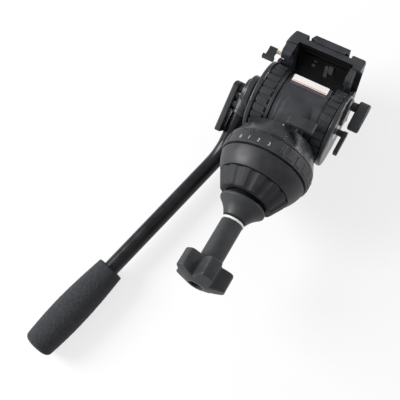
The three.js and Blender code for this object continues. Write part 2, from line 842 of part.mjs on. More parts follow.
function cameraPlate() {
  const footZ = channelFloorZ + seatGap;
  const outline = [
    [plateLeftX + plateFootInset, footZ],
    [plateRightX - plateFootInset, footZ],
    [plateRightX - plateFootInset, plateUndersideZ],
    [plateRightX, plateUndersideZ],
    [plateRightX - edgeRound, plateTopZ],
    [plateLeftX + plateBevel, plateTopZ],
    [plateLeftX, plateUndersideZ],
    [plateLeftX + plateFootInset, plateUndersideZ],
  ];
  const body = prismY(outline, -plateHalfLength, plateHalfLength);
  const middleX = (plateLeftX + plateRightX) / 2;
  const slot = (width, lowZ, highZ) => {
    const half = plateSlotLength / 2;
    const points = [
      ...arc(0, half, width / 2, 0, 180, endSteps),
      ...arc(0, -half, width / 2, 180, 360, endSteps),
    ];
    return prism(points, lowZ, highZ).translate(middleX, 0, 0);
  };
  return cut(
    body,
    slot(plateSlotWidth, footZ - cutOverrun, plateTopZ + cutOverrun),
    slot(plateSlotHeadWidth, footZ - cutOverrun, plateTopZ - plateSlotLedge),
  );
}

// Outline of a lever blade: round hub at the origin and a narrower round tip below it.
function leverOutline(hubRadius, tipRadius, length) {
  return [
    ...arc(0, 0, hubRadius, 0, 180, endSteps),
    ...arc(0, -(length - tipRadius), tipRadius, 180, 360, tipSteps),
  ];
}

// Directions of the handle in its own group: down the tube, then along the grip.
const swing = THREE.MathUtils.degToRad(handleSwingDeg);
const flare = THREE.MathUtils.degToRad(tubeFlareDeg);
const outward = THREE.MathUtils.degToRad(gripOutwardDeg);
const backward = THREE.MathUtils.degToRad(gripBackwardDeg);
const tubeDown = new THREE.Vector3(-Math.sin(flare), 0, -Math.cos(flare));
const gripDown = new THREE.Vector3(
  -Math.sin(outward),
  Math.sin(backward - swing) * Math.cos(outward),
  -Math.cos(backward - swing) * Math.cos(outward),
);
const tubeOrigin = new THREE.Vector3(tubeAxisX, 0, 0);
const knee = tubeOrigin.clone().addScaledVector(tubeDown, tubeBendDistance);

// Places a body made along Z on a line, with its +Z along the given direction.
function onLine(geometry, start, direction) {
  const turn = new THREE.Quaternion().setFromUnitVectors(new THREE.Vector3(0, 0, 1), direction);
  return geometry.applyQuaternion(turn).translate(start.x, start.y, start.z);
}

// Path of the handle tube: straight, an even bend at the knee, then straight again.
// It is sampled only at its ends and along the bend.
class BentPath extends THREE.Curve {
  constructor(stations) {
    super();
    this.stations = stations;
  }

  stationAt(t) {
    return this.stations[Math.round(t * (this.stations.length - 1))];
  }

  getPointAt(t) {
    return this.stationAt(t).point.clone();
  }

  getTangentAt(t) {
    return this.stationAt(t).direction.clone();
  }
}

function handleTube() {
  const bendAngle = tubeDown.angleTo(gripDown);
  const tangent = tubeBendRadius * Math.tan(bendAngle / 2);
  const inward = gripDown.clone().addScaledVector(tubeDown, -gripDown.dot(tubeDown)).normalize();
  const bendStart = knee.clone().addScaledVector(tubeDown, -tangent);
  const bend = Array.from({ length: bendSteps + 1 }, (_, i) => {
    const angle = (bendAngle * i) / bendSteps;
    const point = bendStart.clone()
      .addScaledVector(tubeDown, tubeBendRadius * Math.sin(angle))
      .addScaledVector(inward, tubeBendRadius * (1 - Math.cos(angle)));
    const direction = tubeDown.clone().multiplyScalar(Math.cos(angle))
      .addScaledVector(inward, Math.sin(angle));
    return { point, direction };
  });
  const start = tubeOrigin.clone().addScaledVector(tubeDown, tubeStart);
  const end = knee.clone().addScaledVector(gripDown, gripStart + gripLength - gripEndWall - seatGap);
  const stations = [{ point: start, direction: tubeDown }, ...bend, { point: end, direction: gripDown }];
  const section = shapeOf(arc(0, 0, tubeRadius, 0, 360, tubeSides).slice(1));
  const settings = {
    steps: stations.length - 1,
    extrudePath: new BentPath(stations),
    bevelEnabled: false,
  };
  return weld(new THREE.ExtrudeGeometry(section, settings));
}

function foamGrip() {
  const bore = tubeRadius + seatGap;
  const middle = gripLength * gripMiddleShare;
  const swell = (t, low, high) => low + (high - low) * Math.sin((Math.PI / 2) * t);
  const rise = Array.from({ length: gripSteps + 1 }, (_, i) => {
    const t = i / gripSteps;
    return [swell(t, gripInnerRadius, gripMiddleRadius), edgeRound + (middle - edgeRound) * t];
  });
  const fall = Array.from({ length: gripSteps }, (_, i) => {
    const t = (i + 1) / gripSteps;
    const drop = (gripMiddleRadius - gripOuterRadius) * (1 - Math.cos((Math.PI / 2) * t));
    return [gripMiddleRadius - drop, middle + (gripLength - gripEndRound - middle) * t];
  });
  const capZ = gripLength - gripEndRound;
  const cap = arc(gripOuterRadius - gripEndRound, capZ, gripEndRound, gripCapFromDeg, 90, 3);
  const body = turned([
    [bore, 0],
    [gripInnerRadius - edgeRound, 0],
    ...rise,
    ...fall,
    ...cap,
    [0, gripLength],
    [0, gripLength - gripEndWall],
    [bore, gripLength - gripEndWall],
  ], middleSides);
  return onLine(body, knee.clone().addScaledVector(gripDown, gripStart), gripDown);
}

function handleClamp() {
  const discEndX = clampStartX - clampDiscThickness;
  const stepEndX = discEndX - clampStepThickness;
  const disc = alongX(turned([
    [boltRadius + seatGap, clampStartX],
    [clampDiscRadius - edgeRound, clampStartX],
    [clampDiscRadius, clampStartX - edgeRound],
    [clampDiscRadius, discEndX + edgeRound],
    [clampDiscRadius - edgeRound, discEndX],
    [clampStepRadius, discEndX],
    [clampStepRadius - edgeRound, stepEndX],
    [boltRadius + seatGap, stepEndX],
  ], middleSides));
  const socket = onLine(
    rod(socketRadius, socketStart, socketEnd, middleSides), tubeOrigin, tubeDown,
  );
  const tubeHole = rod(tubeRadius + seatGap, tubeStart - seatGap, socketEnd + cutOverrun, middleSides);
  const tubeBore = onLine(tubeHole, tubeOrigin, tubeDown);
  const boltBore = alongX(rod(boltRadius + seatGap, stepEndX - cutOverrun, clampStartX + cutOverrun));
  const rosetteSpace = alongX(
    rod(rosetteRadius + turnGap, clampStartX, clampStartX + socketRadius, middleSides),
  );
  return cut(join(disc, socket), tubeBore, boltBore, rosetteSpace);
}

// A one-sided wing on a round hub, made along X with the wing hanging down.
function wingLever(hubX, side, hubLength, barX, barThickness, rise, drop, width, stemRadius) {
  const tip = width / 2;
  const points = [
    ...arc(0, rise - tip, tip, 0, 180, endSteps),
    ...arc(0, -(drop - tip), tip * wingTipShare, 180, 360, tipSteps),
  ];
  const bar = weld(alongX(softPrism(points, barThickness, edgeRound)));
  const low = Math.min(hubX, hubX + side * hubLength);
  const high = Math.max(hubX, hubX + side * hubLength);
  const stem = alongX(rod(stemRadius, low, high, smallSides));
  return join(bar.translate(side > 0 ? barX : barX - barThickness, 0, 0), stem);
}

// Root body: what the tripod bowl holds
addPiece('half_ball', halfBall(), blackPaint);
addPiece('tie_down_stud', rod(studRadius, studBottomZ, studTopZ), steel);
addPiece('pan_spindle', spindle(), steel);
addPiece(
  'pan_drag_rotor',
  ring(spindleRadius + seatGap, rotorRadius, rotorZ, rotorZ + rotorHeight, middleSides),
  steel,
);

// Tie-down clamp and its handle
addPiece('clamp_cup', clampCup(), blackPaint);
addPiece(
  'thrust_washer',
  ring(studHoleRadius, washerRadius, washerTopZ - washerHeight, washerTopZ, middleSides),
  rubber,
);
addPiece('cone_nut', coneNut(), blackPaint);
addPiece(
  'thread_insert',
  ring(studRadius + seatGap, nutRadius, coneTopZ - edgeRound - nutHeight, coneTopZ - edgeRound, smallSides),
  brass,
);
addPiece(
  'seal_ring',
  ring(studHoleRadius, sealRadius, sealTopZ - sealHeight, sealTopZ, middleSides),
  rubber,
);
addPiece(
  'nylon_ring',
  ring(studHoleRadius, nylonRadius, nylonTopZ - nylonHeight, nylonTopZ, middleSides),
  whiteNylon,
);
addPiece(
  'knob_sleeve',
  ring(sleeveBoreRadius, sleeveRadius, sleeveBottomZ, sleeveTopZ, middleSides),
  blackPlastic,
);
addPiece('star_knob', starKnob(), blackPlastic);

// Pan body
const cupTopZ = coverTopZ - coverTopThickness - seatGap;
addPiece('cone_cover', coneCover(), blackPaint);
addPiece('pan_drag_cup', turned([
  [coverHoleRadius, cupTopZ - cupTopThickness],
  [cupRadius - cupWall, cupTopZ - cupTopThickness],
  [cupRadius - cupWall, cupTopZ - cupDepth],
  [cupRadius - 2 * seatGap, cupTopZ - cupDepth],
  [cupRadius - 2 * seatGap, coverBaseZ],
  [coverTopRadius - coverWall - 2 * seatGap, cupTopZ],
  [coverHoleRadius, cupTopZ],
], middleSides), steel);
addPiece('pan_drag_dial', dialRing(), blackPlastic);
addPiece('housing', housing(), blackPaint);
const bearingTopZ = panBoreTopZ - spindleNutHeight - 2 * seatGap;
const bearingLowZ = bearingTopZ - bearingHeight;
addPiece(
  'pan_bearing',
  ring(spindleRadius + seatGap, panBoreRadius - seatGap, bearingLowZ, bearingTopZ, middleSides),
  steel,
);
const spindleNutZ = bearingTopZ + seatGap;
const spindleNutTopZ = spindleNutZ + spindleNutHeight;
addPiece('spindle_nut', cut(
  rod(spindleNutRadius, spindleNutZ, spindleNutTopZ, hexSides),
  rod(spindleRadius + seatGap, spindleNutZ - cutOverrun, spindleNutTopZ + cutOverrun, middleSides),
), steel);
const flangeLowX = drumLeftX - seatGap - flangeWidth;
const flange = ring(hubRadius + seatGap, flangeRadius, flangeLowX, flangeLowX + flangeWidth);
addPiece('bearing_flange', alongX(flange).translate(0, 0, tiltAxisZ), blackPaint);
const labelTopZ = faceTopZ - faceRound;
addPiece('label_strip', block(
  labelCentreX - labelWidth / 2, labelCentreX + labelWidth / 2,
  -faceHalfDepth - seatGap / 2 - labelThickness, -faceHalfDepth - seatGap / 2,
  labelTopZ - labelHeight, labelTopZ,
), labelFilm);

// Pan lock lever, turning on a stem that points at the pan axis
const panLock = new THREE.Group();
panLock.position.set(panLockX, 0, panLockZ);
head.add(panLock);
function panLockLever() {
  const backY = panLockFaceY;
  const frontY = panLockFaceY - panLockTabThickness;
  const round = panLockTabRound;
  const plan = [
    [panLockTabStart, backY],
    ...arc(panLockTabStart + round, frontY + round, round, 180, 270, cornerSteps),
    [panLockTabLength - edgeRound, frontY],
    [panLockTabLength, frontY + edgeRound],
    [panLockTabLength, backY],
  ];
  const tab = softPrism(plan, panLockTabHeight, edgeRound / 2);
  const hub = rod(panLockHubRadius, -backY - edgeRound, edgeRound - backY, middleSides)
    .rotateX(Math.PI / 2);
  const bore = rod(panLockStemRadius + seatGap, faceHalfDepth, -frontY - edgeRound)
    .rotateX(Math.PI / 2);
  return cut(join(tab.translate(0, 0, -panLockTabHeight / 2), hub), bore);
}
addPiece('pan_lock_lever', panLockLever(), blackPlastic, panLock);
addPiece(
  'pan_lock_screw',
  rod(
    panLockStemRadius,
    columnHalfDepth - panLockStemDepth + seatGap,
    panLockTabThickness - panLockFaceY - edgeRound - seatGap,
  ).rotateX(Math.PI / 2),
  steel,
  panLock,
);

// Rings about the tilt axis
const dragRingX = flangeLowX - seatGap - dragRingWidth;
addPiece('tilt_drag_ring', luggedRing(dragRingX, dragRingWidth, dragRingCollarWidth), blackPlastic);
addPiece('balance_ring', luggedRing(drumRightX + seatGap, balanceRingWidth, 0), blackPlastic);

// Tilting body
const leftArmInnerX = leftHubEndX - seatGap;
const rightArmInnerX = rightHubEndX + seatGap;
const leftArmOuterX = leftArmInnerX - armThickness;
const rightArmOuterX = rightArmInnerX + armThickness;
addPiece('left_arm', arm(leftArmInnerX, -1, leftArmInnerReach), blackPaint);
addPiece('right_arm', arm(rightArmInnerX, 1, rightArmInnerReach), blackPaint);
addPiece('platform', platform(), blackPaint);
addPiece(
  'tilt_shaft',
  alongX(rod(shaftRadius, leftArmOuterX, rightArmOuterX, smallSides)).translate(0, 0, tiltAxisZ),
  steel,
);
const tiltRotorX = leftChamberX + (leftChamberWidth - tiltRotorWidth) / 2;
addPiece(
  'tilt_drag_rotor',
  alongX(ring(shaftRadius + seatGap, tiltRotorRadius, tiltRotorX, tiltRotorX + tiltRotorWidth, smallSides))
    .translate(0, 0, tiltAxisZ),
  steel,
);
const springX = rightChamberX + (rightChamberWidth - springWidth) / 2;
addPiece(
  'balance_spring_pack',
  alongX(ring(shaftRadius + seatGap, springRadius, springX, springX + springWidth, smallSides))
    .translate(0, 0, tiltAxisZ),
  steel,
);
addPiece('rosette', alongX(turned([
  [boltRadius + seatGap, -rosetteThickness],
  [rosetteRadius - edgeRound, -rosetteThickness],
  [rosetteRadius, -rosetteThickness + edgeRound],
  [rosetteRadius, 0],
  [boltRadius + seatGap, 0],
], middleSides)).translate(leftArmOuterX - seatGap, 0, tiltAxisZ), blackPaint);
const tiltBossX = rightArmOuterX + seatGap;
addPiece('tilt_lock_boss', alongX(turned([
  [0, 0],
  [tiltLockBossRadius, 0],
  [tiltLockBossRadius, tiltLockBossThickness - edgeRound],
  [tiltLockBossRadius - edgeRound, tiltLockBossThickness],
  [0, tiltLockBossThickness],
], middleSides)).translate(tiltBossX, tiltLockBossY, tiltLockBossZ), blackPaint);

// Camera plate and what it carries
const plateMiddleX = (plateLeftX + plateRightX) / 2;
addPiece('camera_plate', cameraPlate(), blackPaint);
const padLow = plateTopZ + seatGap / 2;
for (const [name, side] of [['plate_pad_left', -1], ['plate_pad_right', 1]]) {
  const outerX = side < 0 ? plateLeftX + plateBevel + padInset : plateRightX - padInset;
  const innerX = outerX - side * padWidth;
  addPiece(name, block(
    Math.min(outerX, innerX), Math.max(outerX, innerX),
    -plateHalfLength + padInset, plateHalfLength - padInset,
    padLow, padLow + padThickness,
  ), rubber);
}
const ledgeZ = plateTopZ - plateSlotLedge - seatGap;
const screwHeadTopZ = ledgeZ - screwWasherHeight - seatGap;
addPiece('screw_washer', ring(
  screwRadius + seatGap, screwHeadRadius, ledgeZ - screwWasherHeight, ledgeZ, smallSides,
).translate(plateMiddleX, screwY, 0), steel);
addPiece('camera_screw', turned([
  [0, screwHeadTopZ - screwHeadHeight],
  [screwHeadRadius, screwHeadTopZ - screwHeadHeight],
  [screwHeadRadius, screwHeadTopZ],
  [screwRadius, screwHeadTopZ],
  [screwRadius, plateTopZ + screwStandOut - edgeRound],
  [screwRadius - edgeRound, plateTopZ + screwStandOut],
  [0, plateTopZ + screwStandOut],
], middleSides).translate(plateMiddleX, screwY, 0), steel);
const pinFootZ = channelFloorZ + seatGap;
addPiece('pin_carrier', ring(
  pinRadius + seatGap, screwHeadRadius, pinFootZ, ledgeZ, smallSides,
).translate(plateMiddleX, pinY, 0), steel);
addPiece('guide_pin', rod(
  pinRadius, pinFootZ + pinTravel, plateTopZ + pinStandOut,
).translate(plateMiddleX, pinY, 0), steel);

// Plate lock lever
const plateLock = new THREE.Group();
plateLock.position.set(0, lockPivotY, lockPivotZ);
head.add(plateLock);
addPiece(
  'plate_lock_spindle',
  alongX(rod(lockSpindleRadius, lockSpindleEndX, platformLeftX + edgeRound + lockSpindleDepth)),
  brass,
  plateLock,
);
function plateLockLever() {
  const endX = lockBarrelX - lockBarrelLength;
  const half = lockBladeDepth / 2;
  const barrel = alongX(rod(lockBarrelRadius, endX, lockBarrelX, smallSides));
  const web = block(endX, lockBarrelX, -half, half, lockBladeThickness / 2 - lockBladeDrop, 0);
  const blade = block(
    lockBladeLeftX, lockBladeRightX, -half, half, -lockBladeDrop, lockBladeThickness - lockBladeDrop,
  );
  const bore = alongX(rod(lockSpindleRadius + seatGap, lockSpindleEndX - seatGap, lockBarrelX + cutOverrun));
  return cut(join(barrel, web, blade), bore);
}
addPiece('plate_lock_lever', plateLockLever(), blackPlastic, plateLock);

// Pan handle, swung back about the tilt axis
const handle = new THREE.Group();
handle.position.set(0, 0, tiltAxisZ);
handle.rotation.x = swing;
head.add(handle);
addPiece('handle_clamp', handleClamp(), blackPaint, handle);
addPiece('handle_tube', handleTube(), blackPaint, handle);
addPiece('handle_grip', foamGrip(), foam, handle);

const wing = new THREE.Group();
wing.position.set(0, 0, tiltAxisZ);
wing.rotation.x = THREE.MathUtils.degToRad(wingSwingDeg);
head.add(wing);
const wingStemRadius = wingHubRadius;
addPiece('handle_wing_lever', cut(
  wingLever(
    wingStartX, -1, wingHubLength,
    wingStartX - wingHubLength + wingEndInset + wingThickness, wingThickness,
    wingHubRadius, wingLength, wingWidth, wingStemRadius,
  ),
  alongX(rod(boltRadius + seatGap, wingStartX - wingHubLength + edgeRound, wingStartX + cutOverrun)),
), blackPlastic, wing);
addPiece('handle_bolt', alongX(turned([
  [0, wingStartX - wingHubLength + edgeRound + seatGap],
  [boltRadius, wingStartX - wingHubLength + edgeRound + seatGap],
  [boltRadius, leftArmOuterX - seatGap - rosetteThickness / 2],
  [0, leftArmOuterX - seatGap - rosetteThickness / 2],
], smallSides)), steel, wing);

// Tilt lock lever
const tiltLock = new THREE.Group();
tiltLock.position.set(0, tiltLockY, tiltLockZ);
head.add(tiltLock);
const tiltStemX = tiltBossX + tiltLockBossThickness + seatGap;
addPiece('tilt_lock_lever', wingLever(
  tiltStemX, 1, tiltLockStemEndX + cutOverrun - tiltStemX,
  tiltLockStemEndX, tiltLockBarThickness,
  tiltLockBarRise, tiltLockBarDrop, tiltLockBarWidth, tiltLockStemRadius,
), blackPlastic, tiltLock);

// Balance lever
const balance = new THREE.Group();
balance.position.set(rightArmOuterX + seatGap, 0, tiltAxisZ);
head.add(balance);
addPiece('balance_lever', join(
  alongX(rod(balanceHubRadius, 0, balanceHubWidth + edgeRound, smallSides)),
  weld(alongX(softPrism(
    leverOutline(balanceBarWidth / 2, balanceBarWidth / 2, balanceBarLength),
    balanceBarThickness,
    edgeRound / 2,
  ))).translate(balanceHubWidth, 0, 0),
), blackPlastic, balance);

export default head;
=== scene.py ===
# %% [markdown]
# # A video fluid head in black paint, plastic and foam
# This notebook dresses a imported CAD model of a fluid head: half ball, pan and tilt rings,
# side arms, camera platform and a bent handle. Lengths of shapes are in millimetres and turn
# into metres when a mesh is made. +Z is the pan axis and +X the tilt axis. The head lies on a
# white table on the back of its platform and on its grip, so the camera sees it from below.

# %% Load the frame
import json
import math

import bmesh
import bpy
import numpy as np
from mathutils import Matrix, Vector


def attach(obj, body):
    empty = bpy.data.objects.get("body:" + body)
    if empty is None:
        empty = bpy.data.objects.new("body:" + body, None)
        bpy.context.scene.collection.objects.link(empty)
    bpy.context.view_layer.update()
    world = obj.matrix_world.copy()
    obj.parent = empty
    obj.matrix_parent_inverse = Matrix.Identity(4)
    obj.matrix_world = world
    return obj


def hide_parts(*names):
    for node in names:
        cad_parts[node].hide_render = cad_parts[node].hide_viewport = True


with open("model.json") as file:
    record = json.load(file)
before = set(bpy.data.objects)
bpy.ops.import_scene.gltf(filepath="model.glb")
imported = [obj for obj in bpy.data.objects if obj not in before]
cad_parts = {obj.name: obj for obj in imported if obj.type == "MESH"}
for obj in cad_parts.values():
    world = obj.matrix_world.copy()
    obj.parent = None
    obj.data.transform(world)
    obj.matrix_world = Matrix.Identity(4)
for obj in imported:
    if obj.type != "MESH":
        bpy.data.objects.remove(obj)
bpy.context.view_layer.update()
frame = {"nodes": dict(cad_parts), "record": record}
MM = 0.001

# %% [markdown]
# ## Camera
# A photograph fixes a camera by seven numbers. They were solved from the circles of the half
# ball and dial: azimuth, elevation and roll of the view, the distance, where the origin falls
# in the picture, and the focal length in pixels of a 400 pixel wide frame.

# %% Camera
VIEW = dict(azimuth=13.545, elevation=-20.457, roll=31.783)
DISTANCE = 717.92 * MM
ORIGIN_PIXEL = (262.93, 171.14)
FOCAL_PIXELS = 680.0
FRAME_PIXELS = 400.0
SENSOR_MM = 36.0


def camera_axes(azimuth, elevation, roll):
    """Camera axes as matrix rows: right, up and backwards.

    Backwards points from the object to the camera. Right is level, square to it, and the
    first two are then turned about it by the roll."""
    a, e, r = np.radians([azimuth, elevation, roll])
    back = np.array([np.sin(a) * np.cos(e), -np.cos(a) * np.cos(e), np.sin(e)])
    right = np.cross([0.0, 0.0, 1.0], back)
    right /= np.linalg.norm(right)
    up = np.cross(back, right)
    return np.array([
        np.cos(r) * right + np.sin(r) * up,
        -np.sin(r) * right + np.cos(r) * up,
        back,
    ])


AXES = camera_axes(**VIEW)
HALF = FRAME_PIXELS / 2
origin_seen = np.array([
    (ORIGIN_PIXEL[0] - HALF) * DISTANCE / FOCAL_PIXELS,
    -(ORIGIN_PIXEL[1] - HALF) * DISTANCE / FOCAL_PIXELS,
    -DISTANCE,
])
CAMERA_AT = -AXES.T @ origin_seen
camera = bpy.data.objects.new("camera", bpy.data.cameras.new("camera"))
camera.data.sensor_width = SENSOR_MM
camera.data.lens = SENSOR_MM * FOCAL_PIXELS / FRAME_PIXELS
camera.data.clip_start = 0.01
camera.matrix_world = Matrix.Translation(CAMERA_AT) @ Matrix(AXES.T.tolist()).to_4x4()
bpy.context.scene.collection.objects.link(camera)
bpy.context.scene.camera = camera
print("camera stands at", np.round(CAMERA_AT, 3), "lens", round(camera.data.lens, 1))

# %% [markdown]
# ## Surfaces from numbers
# Most of the head is turned on a lathe. A turned piece is one profile of radius and height,
# carried round the axis. Sharp corners look false, so each corner is first swapped for a
# small arc. A slab is an outline with a thickness, whose two rims are rounded the same way.
# Each helper returns an array of points and a list of faces, and several can make one piece.

# %% Grid and softened corners
MOST_CUT = 0.45
ON_AXIS = 1e-6


def grid_faces(rows, columns, close_rows=True):
    """Quads of a grid of points. Its columns always wrap round, its rows where asked."""
    i = np.arange(rows if close_rows else rows - 1)
    i, j = np.meshgrid(i, np.arange(columns), indexing="ij")
    a = i * columns + j
    b = i * columns + (j + 1) % columns
    c = ((i + 1) % rows) * columns + (j + 1) % columns
    d = ((i + 1) % rows) * columns + j
    return np.stack([a, b, c, d], axis=-1).reshape(-1, 4).tolist()


def softened(profile, radius, steps=3):
    """A closed outline whose corners are arcs.

    Each corner is cut back by the same length along both sides, at most 0.45 of the shorter
    side, and a quadratic curve through the corner joins the two cuts. Points on the axis
    stay where they are."""
    p = np.asarray(profile, float)
    before, after = np.roll(p, 1, axis=0) - p, np.roll(p, -1, axis=0) - p
    reach = np.minimum(np.linalg.norm(before, axis=1), np.linalg.norm(after, axis=1)) * MOST_CUT
    cut = np.where(np.abs(p[:, 0]) < ON_AXIS, 0.0, np.minimum(reach, radius))[:, None]
    start = p + before / np.linalg.norm(before, axis=1, keepdims=True) * cut
    end = p + after / np.linalg.norm(after, axis=1, keepdims=True) * cut
    t = np.linspace(0, 1, steps + 1)[None, :, None]
    curve = (1 - t) ** 2 * start[:, None] + 2 * t * (1 - t) * p[:, None] + t ** 2 * end[:, None]
    return curve.reshape(-1, 2)


square = [(1, 0), (2, 0), (2, 1), (1, 1)]
print("a softened square has", len(softened(square, 0.2)), "points")


# %% Lathe and arc
def lathe(profile, sides=160, corner=0.5, reshape=None):
    """A closed profile of (radius, height) carried round Z.

    Point = (r cos a, r sin a, h). A reshape function may first change r from r, a and h."""
    outline = softened(profile, corner)
    angle = np.linspace(0, 2 * np.pi, sides, endpoint=False)
    r, h = outline[:, :1] + 0 * angle, outline[:, 1:] + 0 * angle
    a = angle + 0 * r
    if reshape:
        r = reshape(r, a, h)
    return np.stack([r * np.cos(a), r * np.sin(a), h], axis=-1), grid_faces(*r.shape)


def arc(centre, radius, from_deg, to_deg, steps):
    """Points of a circular arc, centre + radius (cos a, sin a)."""
    a = np.radians(np.linspace(from_deg, to_deg, steps + 1))
    return np.stack([centre[0] + radius * np.cos(a), centre[1] + radius * np.sin(a)], axis=-1)


print("a square on the lathe has a grid of", lathe(square)[0].shape[:2], "points")


# %% Slab and rounded box
def slab(outline, low, high, rim, steps=4):
    """An outline in XY with a thickness along Z, its two rims rounded by a quarter circle.

    Each row of the rim lies rim (1 - sin a) inside the outline and rim (1 - cos a) above the
    bottom, or as far below the top. A point moves inwards along its two sides' mean normal,
    lengthened so that it stays as far from both sides."""
    p = np.asarray(outline, float)
    area = np.sum(p[:, 0] * np.roll(p[:, 1], -1) - np.roll(p[:, 0], -1) * p[:, 1])
    p = p if area > 0 else p[::-1]
    side = np.roll(p, -1, axis=0) - p
    side /= np.linalg.norm(side, axis=1, keepdims=True)
    inward = np.stack([-side[:, 1], side[:, 0]], axis=-1)
    last = np.roll(inward, 1, axis=0)
    mitre = (inward + last) / (1 + np.sum(inward * last, axis=1, keepdims=True))
    a = np.linspace(0, np.pi / 2, steps + 1)
    inset = rim * (1 - np.sin(a))
    rise = rim * (1 - np.cos(a))
    inset, height = np.r_[inset, inset[::-1]], np.r_[low + rise, high - rise[::-1]]
    ring = p + inset[:, None, None] * mitre
    points = np.concatenate([ring, height[:, None, None] + 0 * ring[..., :1]], axis=-1)
    rows, columns = points.shape[:2]
    faces = grid_faces(rows, columns, close_rows=False)
    faces += [list(range(columns))[::-1], list(range((rows - 1) * columns, rows * columns))]
    return points, faces


def rounded_box(low_x, high_x, low_y, high_y, corner):
    """Outline of a rectangle whose corners are quarter circles."""
    return np.concatenate([
        arc((high_x - corner, high_y - corner), corner, 0, 90, 6),
        arc((low_x + corner, high_y - corner), corner, 90, 180, 6),
        arc((low_x + corner, low_y + corner), corner, 180, 270, 6),
        arc((high_x - corner, low_y + corner), corner, 270, 360, 6),
    ])


print("a rounded box has", len(rounded_box(0, 2, 0, 1, 0.2)), "points")


# %% [markdown]
# ## Placing a shape
# Shapes are worked out round Z at the origin and then turned onto the tilt axis, or onto the
# handle's own direction. Only the numbers move: every object stays at the origin, unturned.
# A mesh is then made from the arrays. Its doubles are merged before its normals are worked
# out, because a grid's seam and its caps are otherwise loose edges that would shade as cracks.

# %% Placing helpers
def moved(part, at):
    """Moves a shape by a vector."""
    return part[0] + np.asarray(at, float), part[1]


def along_x(part, at=(0.0, 0.0, 0.0)):
    """Turns a shape made along Z onto X: its X goes to Y and its Y to Z."""
    return part[0][..., [2, 0, 1]] + np.asarray(at, float), part[1]


def along_y(part, at=(0.0, 0.0, 0.0)):
    """Turns a shape made along Z onto Y: its Z goes to Y and its Y to Z."""
    return part[0][..., [0, 2, 1]] + np.asarray(at, float), part[1]


def onto(part, origin, direction):
    """Turns a shape made along Z onto a direction, and puts its origin at a point."""
    z = np.asarray(direction, float) / np.linalg.norm(direction)
    x = np.cross([0.0, 1.0, 0.0], z)
    x /= np.linalg.norm(x)
    return part[0] @ np.array([x, np.cross(z, x), z]) + np.asarray(origin, float), part[1]


def about_x(angle):
    """Matrix that turns points about X: its columns are X and the turned Y and Z."""
    c, s = math.cos(angle), math.sin(angle)
    return np.array([[1, 0, 0], [0, c, -s], [0, s, c]])


# %% From arrays to a piece
MERGE_WITHIN = 2e-6


def piece_from(name, parts, smooth_deg=40.0):
    """One mesh object from several arrays of points and their faces.

    Points that fall together are merged, faces turn outwards, and shading is smooth except
    across edges sharper than the given angle."""
    points, faces, first = [], [], 0
    for part_points, part_faces in parts:
        flat = np.asarray(part_points, float).reshape(-1, 3)
        points.append(flat)
        faces += [[index + first for index in face] for face in part_faces]
        first += len(flat)
    mesh = bpy.data.meshes.new(name)
    mesh.from_pydata((np.concatenate(points) * MM).tolist(), [], faces)
    work = bmesh.new()
    work.from_mesh(mesh)
    bmesh.ops.remove_doubles(work, verts=work.verts, dist=MERGE_WITHIN)
    bmesh.ops.recalc_face_normals(work, faces=work.faces)
    work.to_mesh(mesh)
    work.free()
    mesh.shade_smooth()
    mesh.set_sharp_from_angle(angle=math.radians(smooth_deg))
    piece = bpy.data.objects.new(name, mesh)
    bpy.context.scene.collection.objects.link(piece)
    even = piece.modifiers.new("even_shading", "WEIGHTED_NORMAL")
    even.keep_sharp = True
    return piece


# %% A rounded copy of a CAD piece
FLAT_WITHIN_DEG = 1.5


def copy_of(node, edge=0.5, segments=3, smooth_deg=35.0):
    """A merged copy of a CAD piece with rounded edges. The CAD piece itself stays as it is."""
    mesh = frame["nodes"][node].data.copy()
    work = bmesh.new()
    work.from_mesh(mesh)
    bmesh.ops.remove_doubles(work, verts=work.verts, dist=MERGE_WITHIN)
    bmesh.ops.dissolve_limit(work, angle_limit=math.radians(FLAT_WITHIN_DEG),
                             verts=work.verts, edges=work.edges)
    work.to_mesh(mesh)
    work.free()
    mesh.materials.clear()
    mesh.shade_smooth()
    mesh.set_sharp_from_angle(angle=math.radians(smooth_deg))
    piece = bpy.data.objects.new(node + "_dressed", mesh)
    bpy.context.scene.collection.objects.link(piece)
    bevel = piece.modifiers.new("edge", "BEVEL")
    bevel.width = edge * MM
    bevel.segments = segments
    bevel.limit_method = "ANGLE"
    bevel.angle_limit = math.radians(smooth_deg)
    bevel.harden_normals = True
    return piece


# %% Material, body and slot
BODIES = frame["record"]["behaviour"]["bodies"]
BODY_OF = {node: body for body, nodes in BODIES.items() for node in nodes}
SLOT_OF = {row["node"]: row["material_slot"] for row in frame["record"]["subparts"]}


def dress(piece, material, node, stands_for=True):
    """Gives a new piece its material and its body."""
    piece.data.materials.append(material)
    if stands_for:
        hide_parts(node)
    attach(piece, BODY_OF[node])
    return piece


print("slots:", ", ".join(sorted(set(SLOT_OF.values()))))

# %% [markdown]
# ## Finishes
# The castings carry a satin black paint with a faint orange peel. The rings and levers are
# moulded black plastic with a finer, duller grain. The grip is open-cell foam, so its bump is
# coarse and its sheen is soft. Each finish mixes two noises: a broad one that varies the
# colour and gloss like dust and handling do, and a fine one that makes the grain. Edges that
# hands and tables rub are a little paler: the difference between the true normal and one
# rounded over a short radius finds them.

# %% Rubbed edges
RUBBED_GREY = (0.22, 0.22, 0.23, 1)
RUB_RADIUS = 0.5 * MM
RUB_STARTS, RUB_FULL = 0.995, 0.93


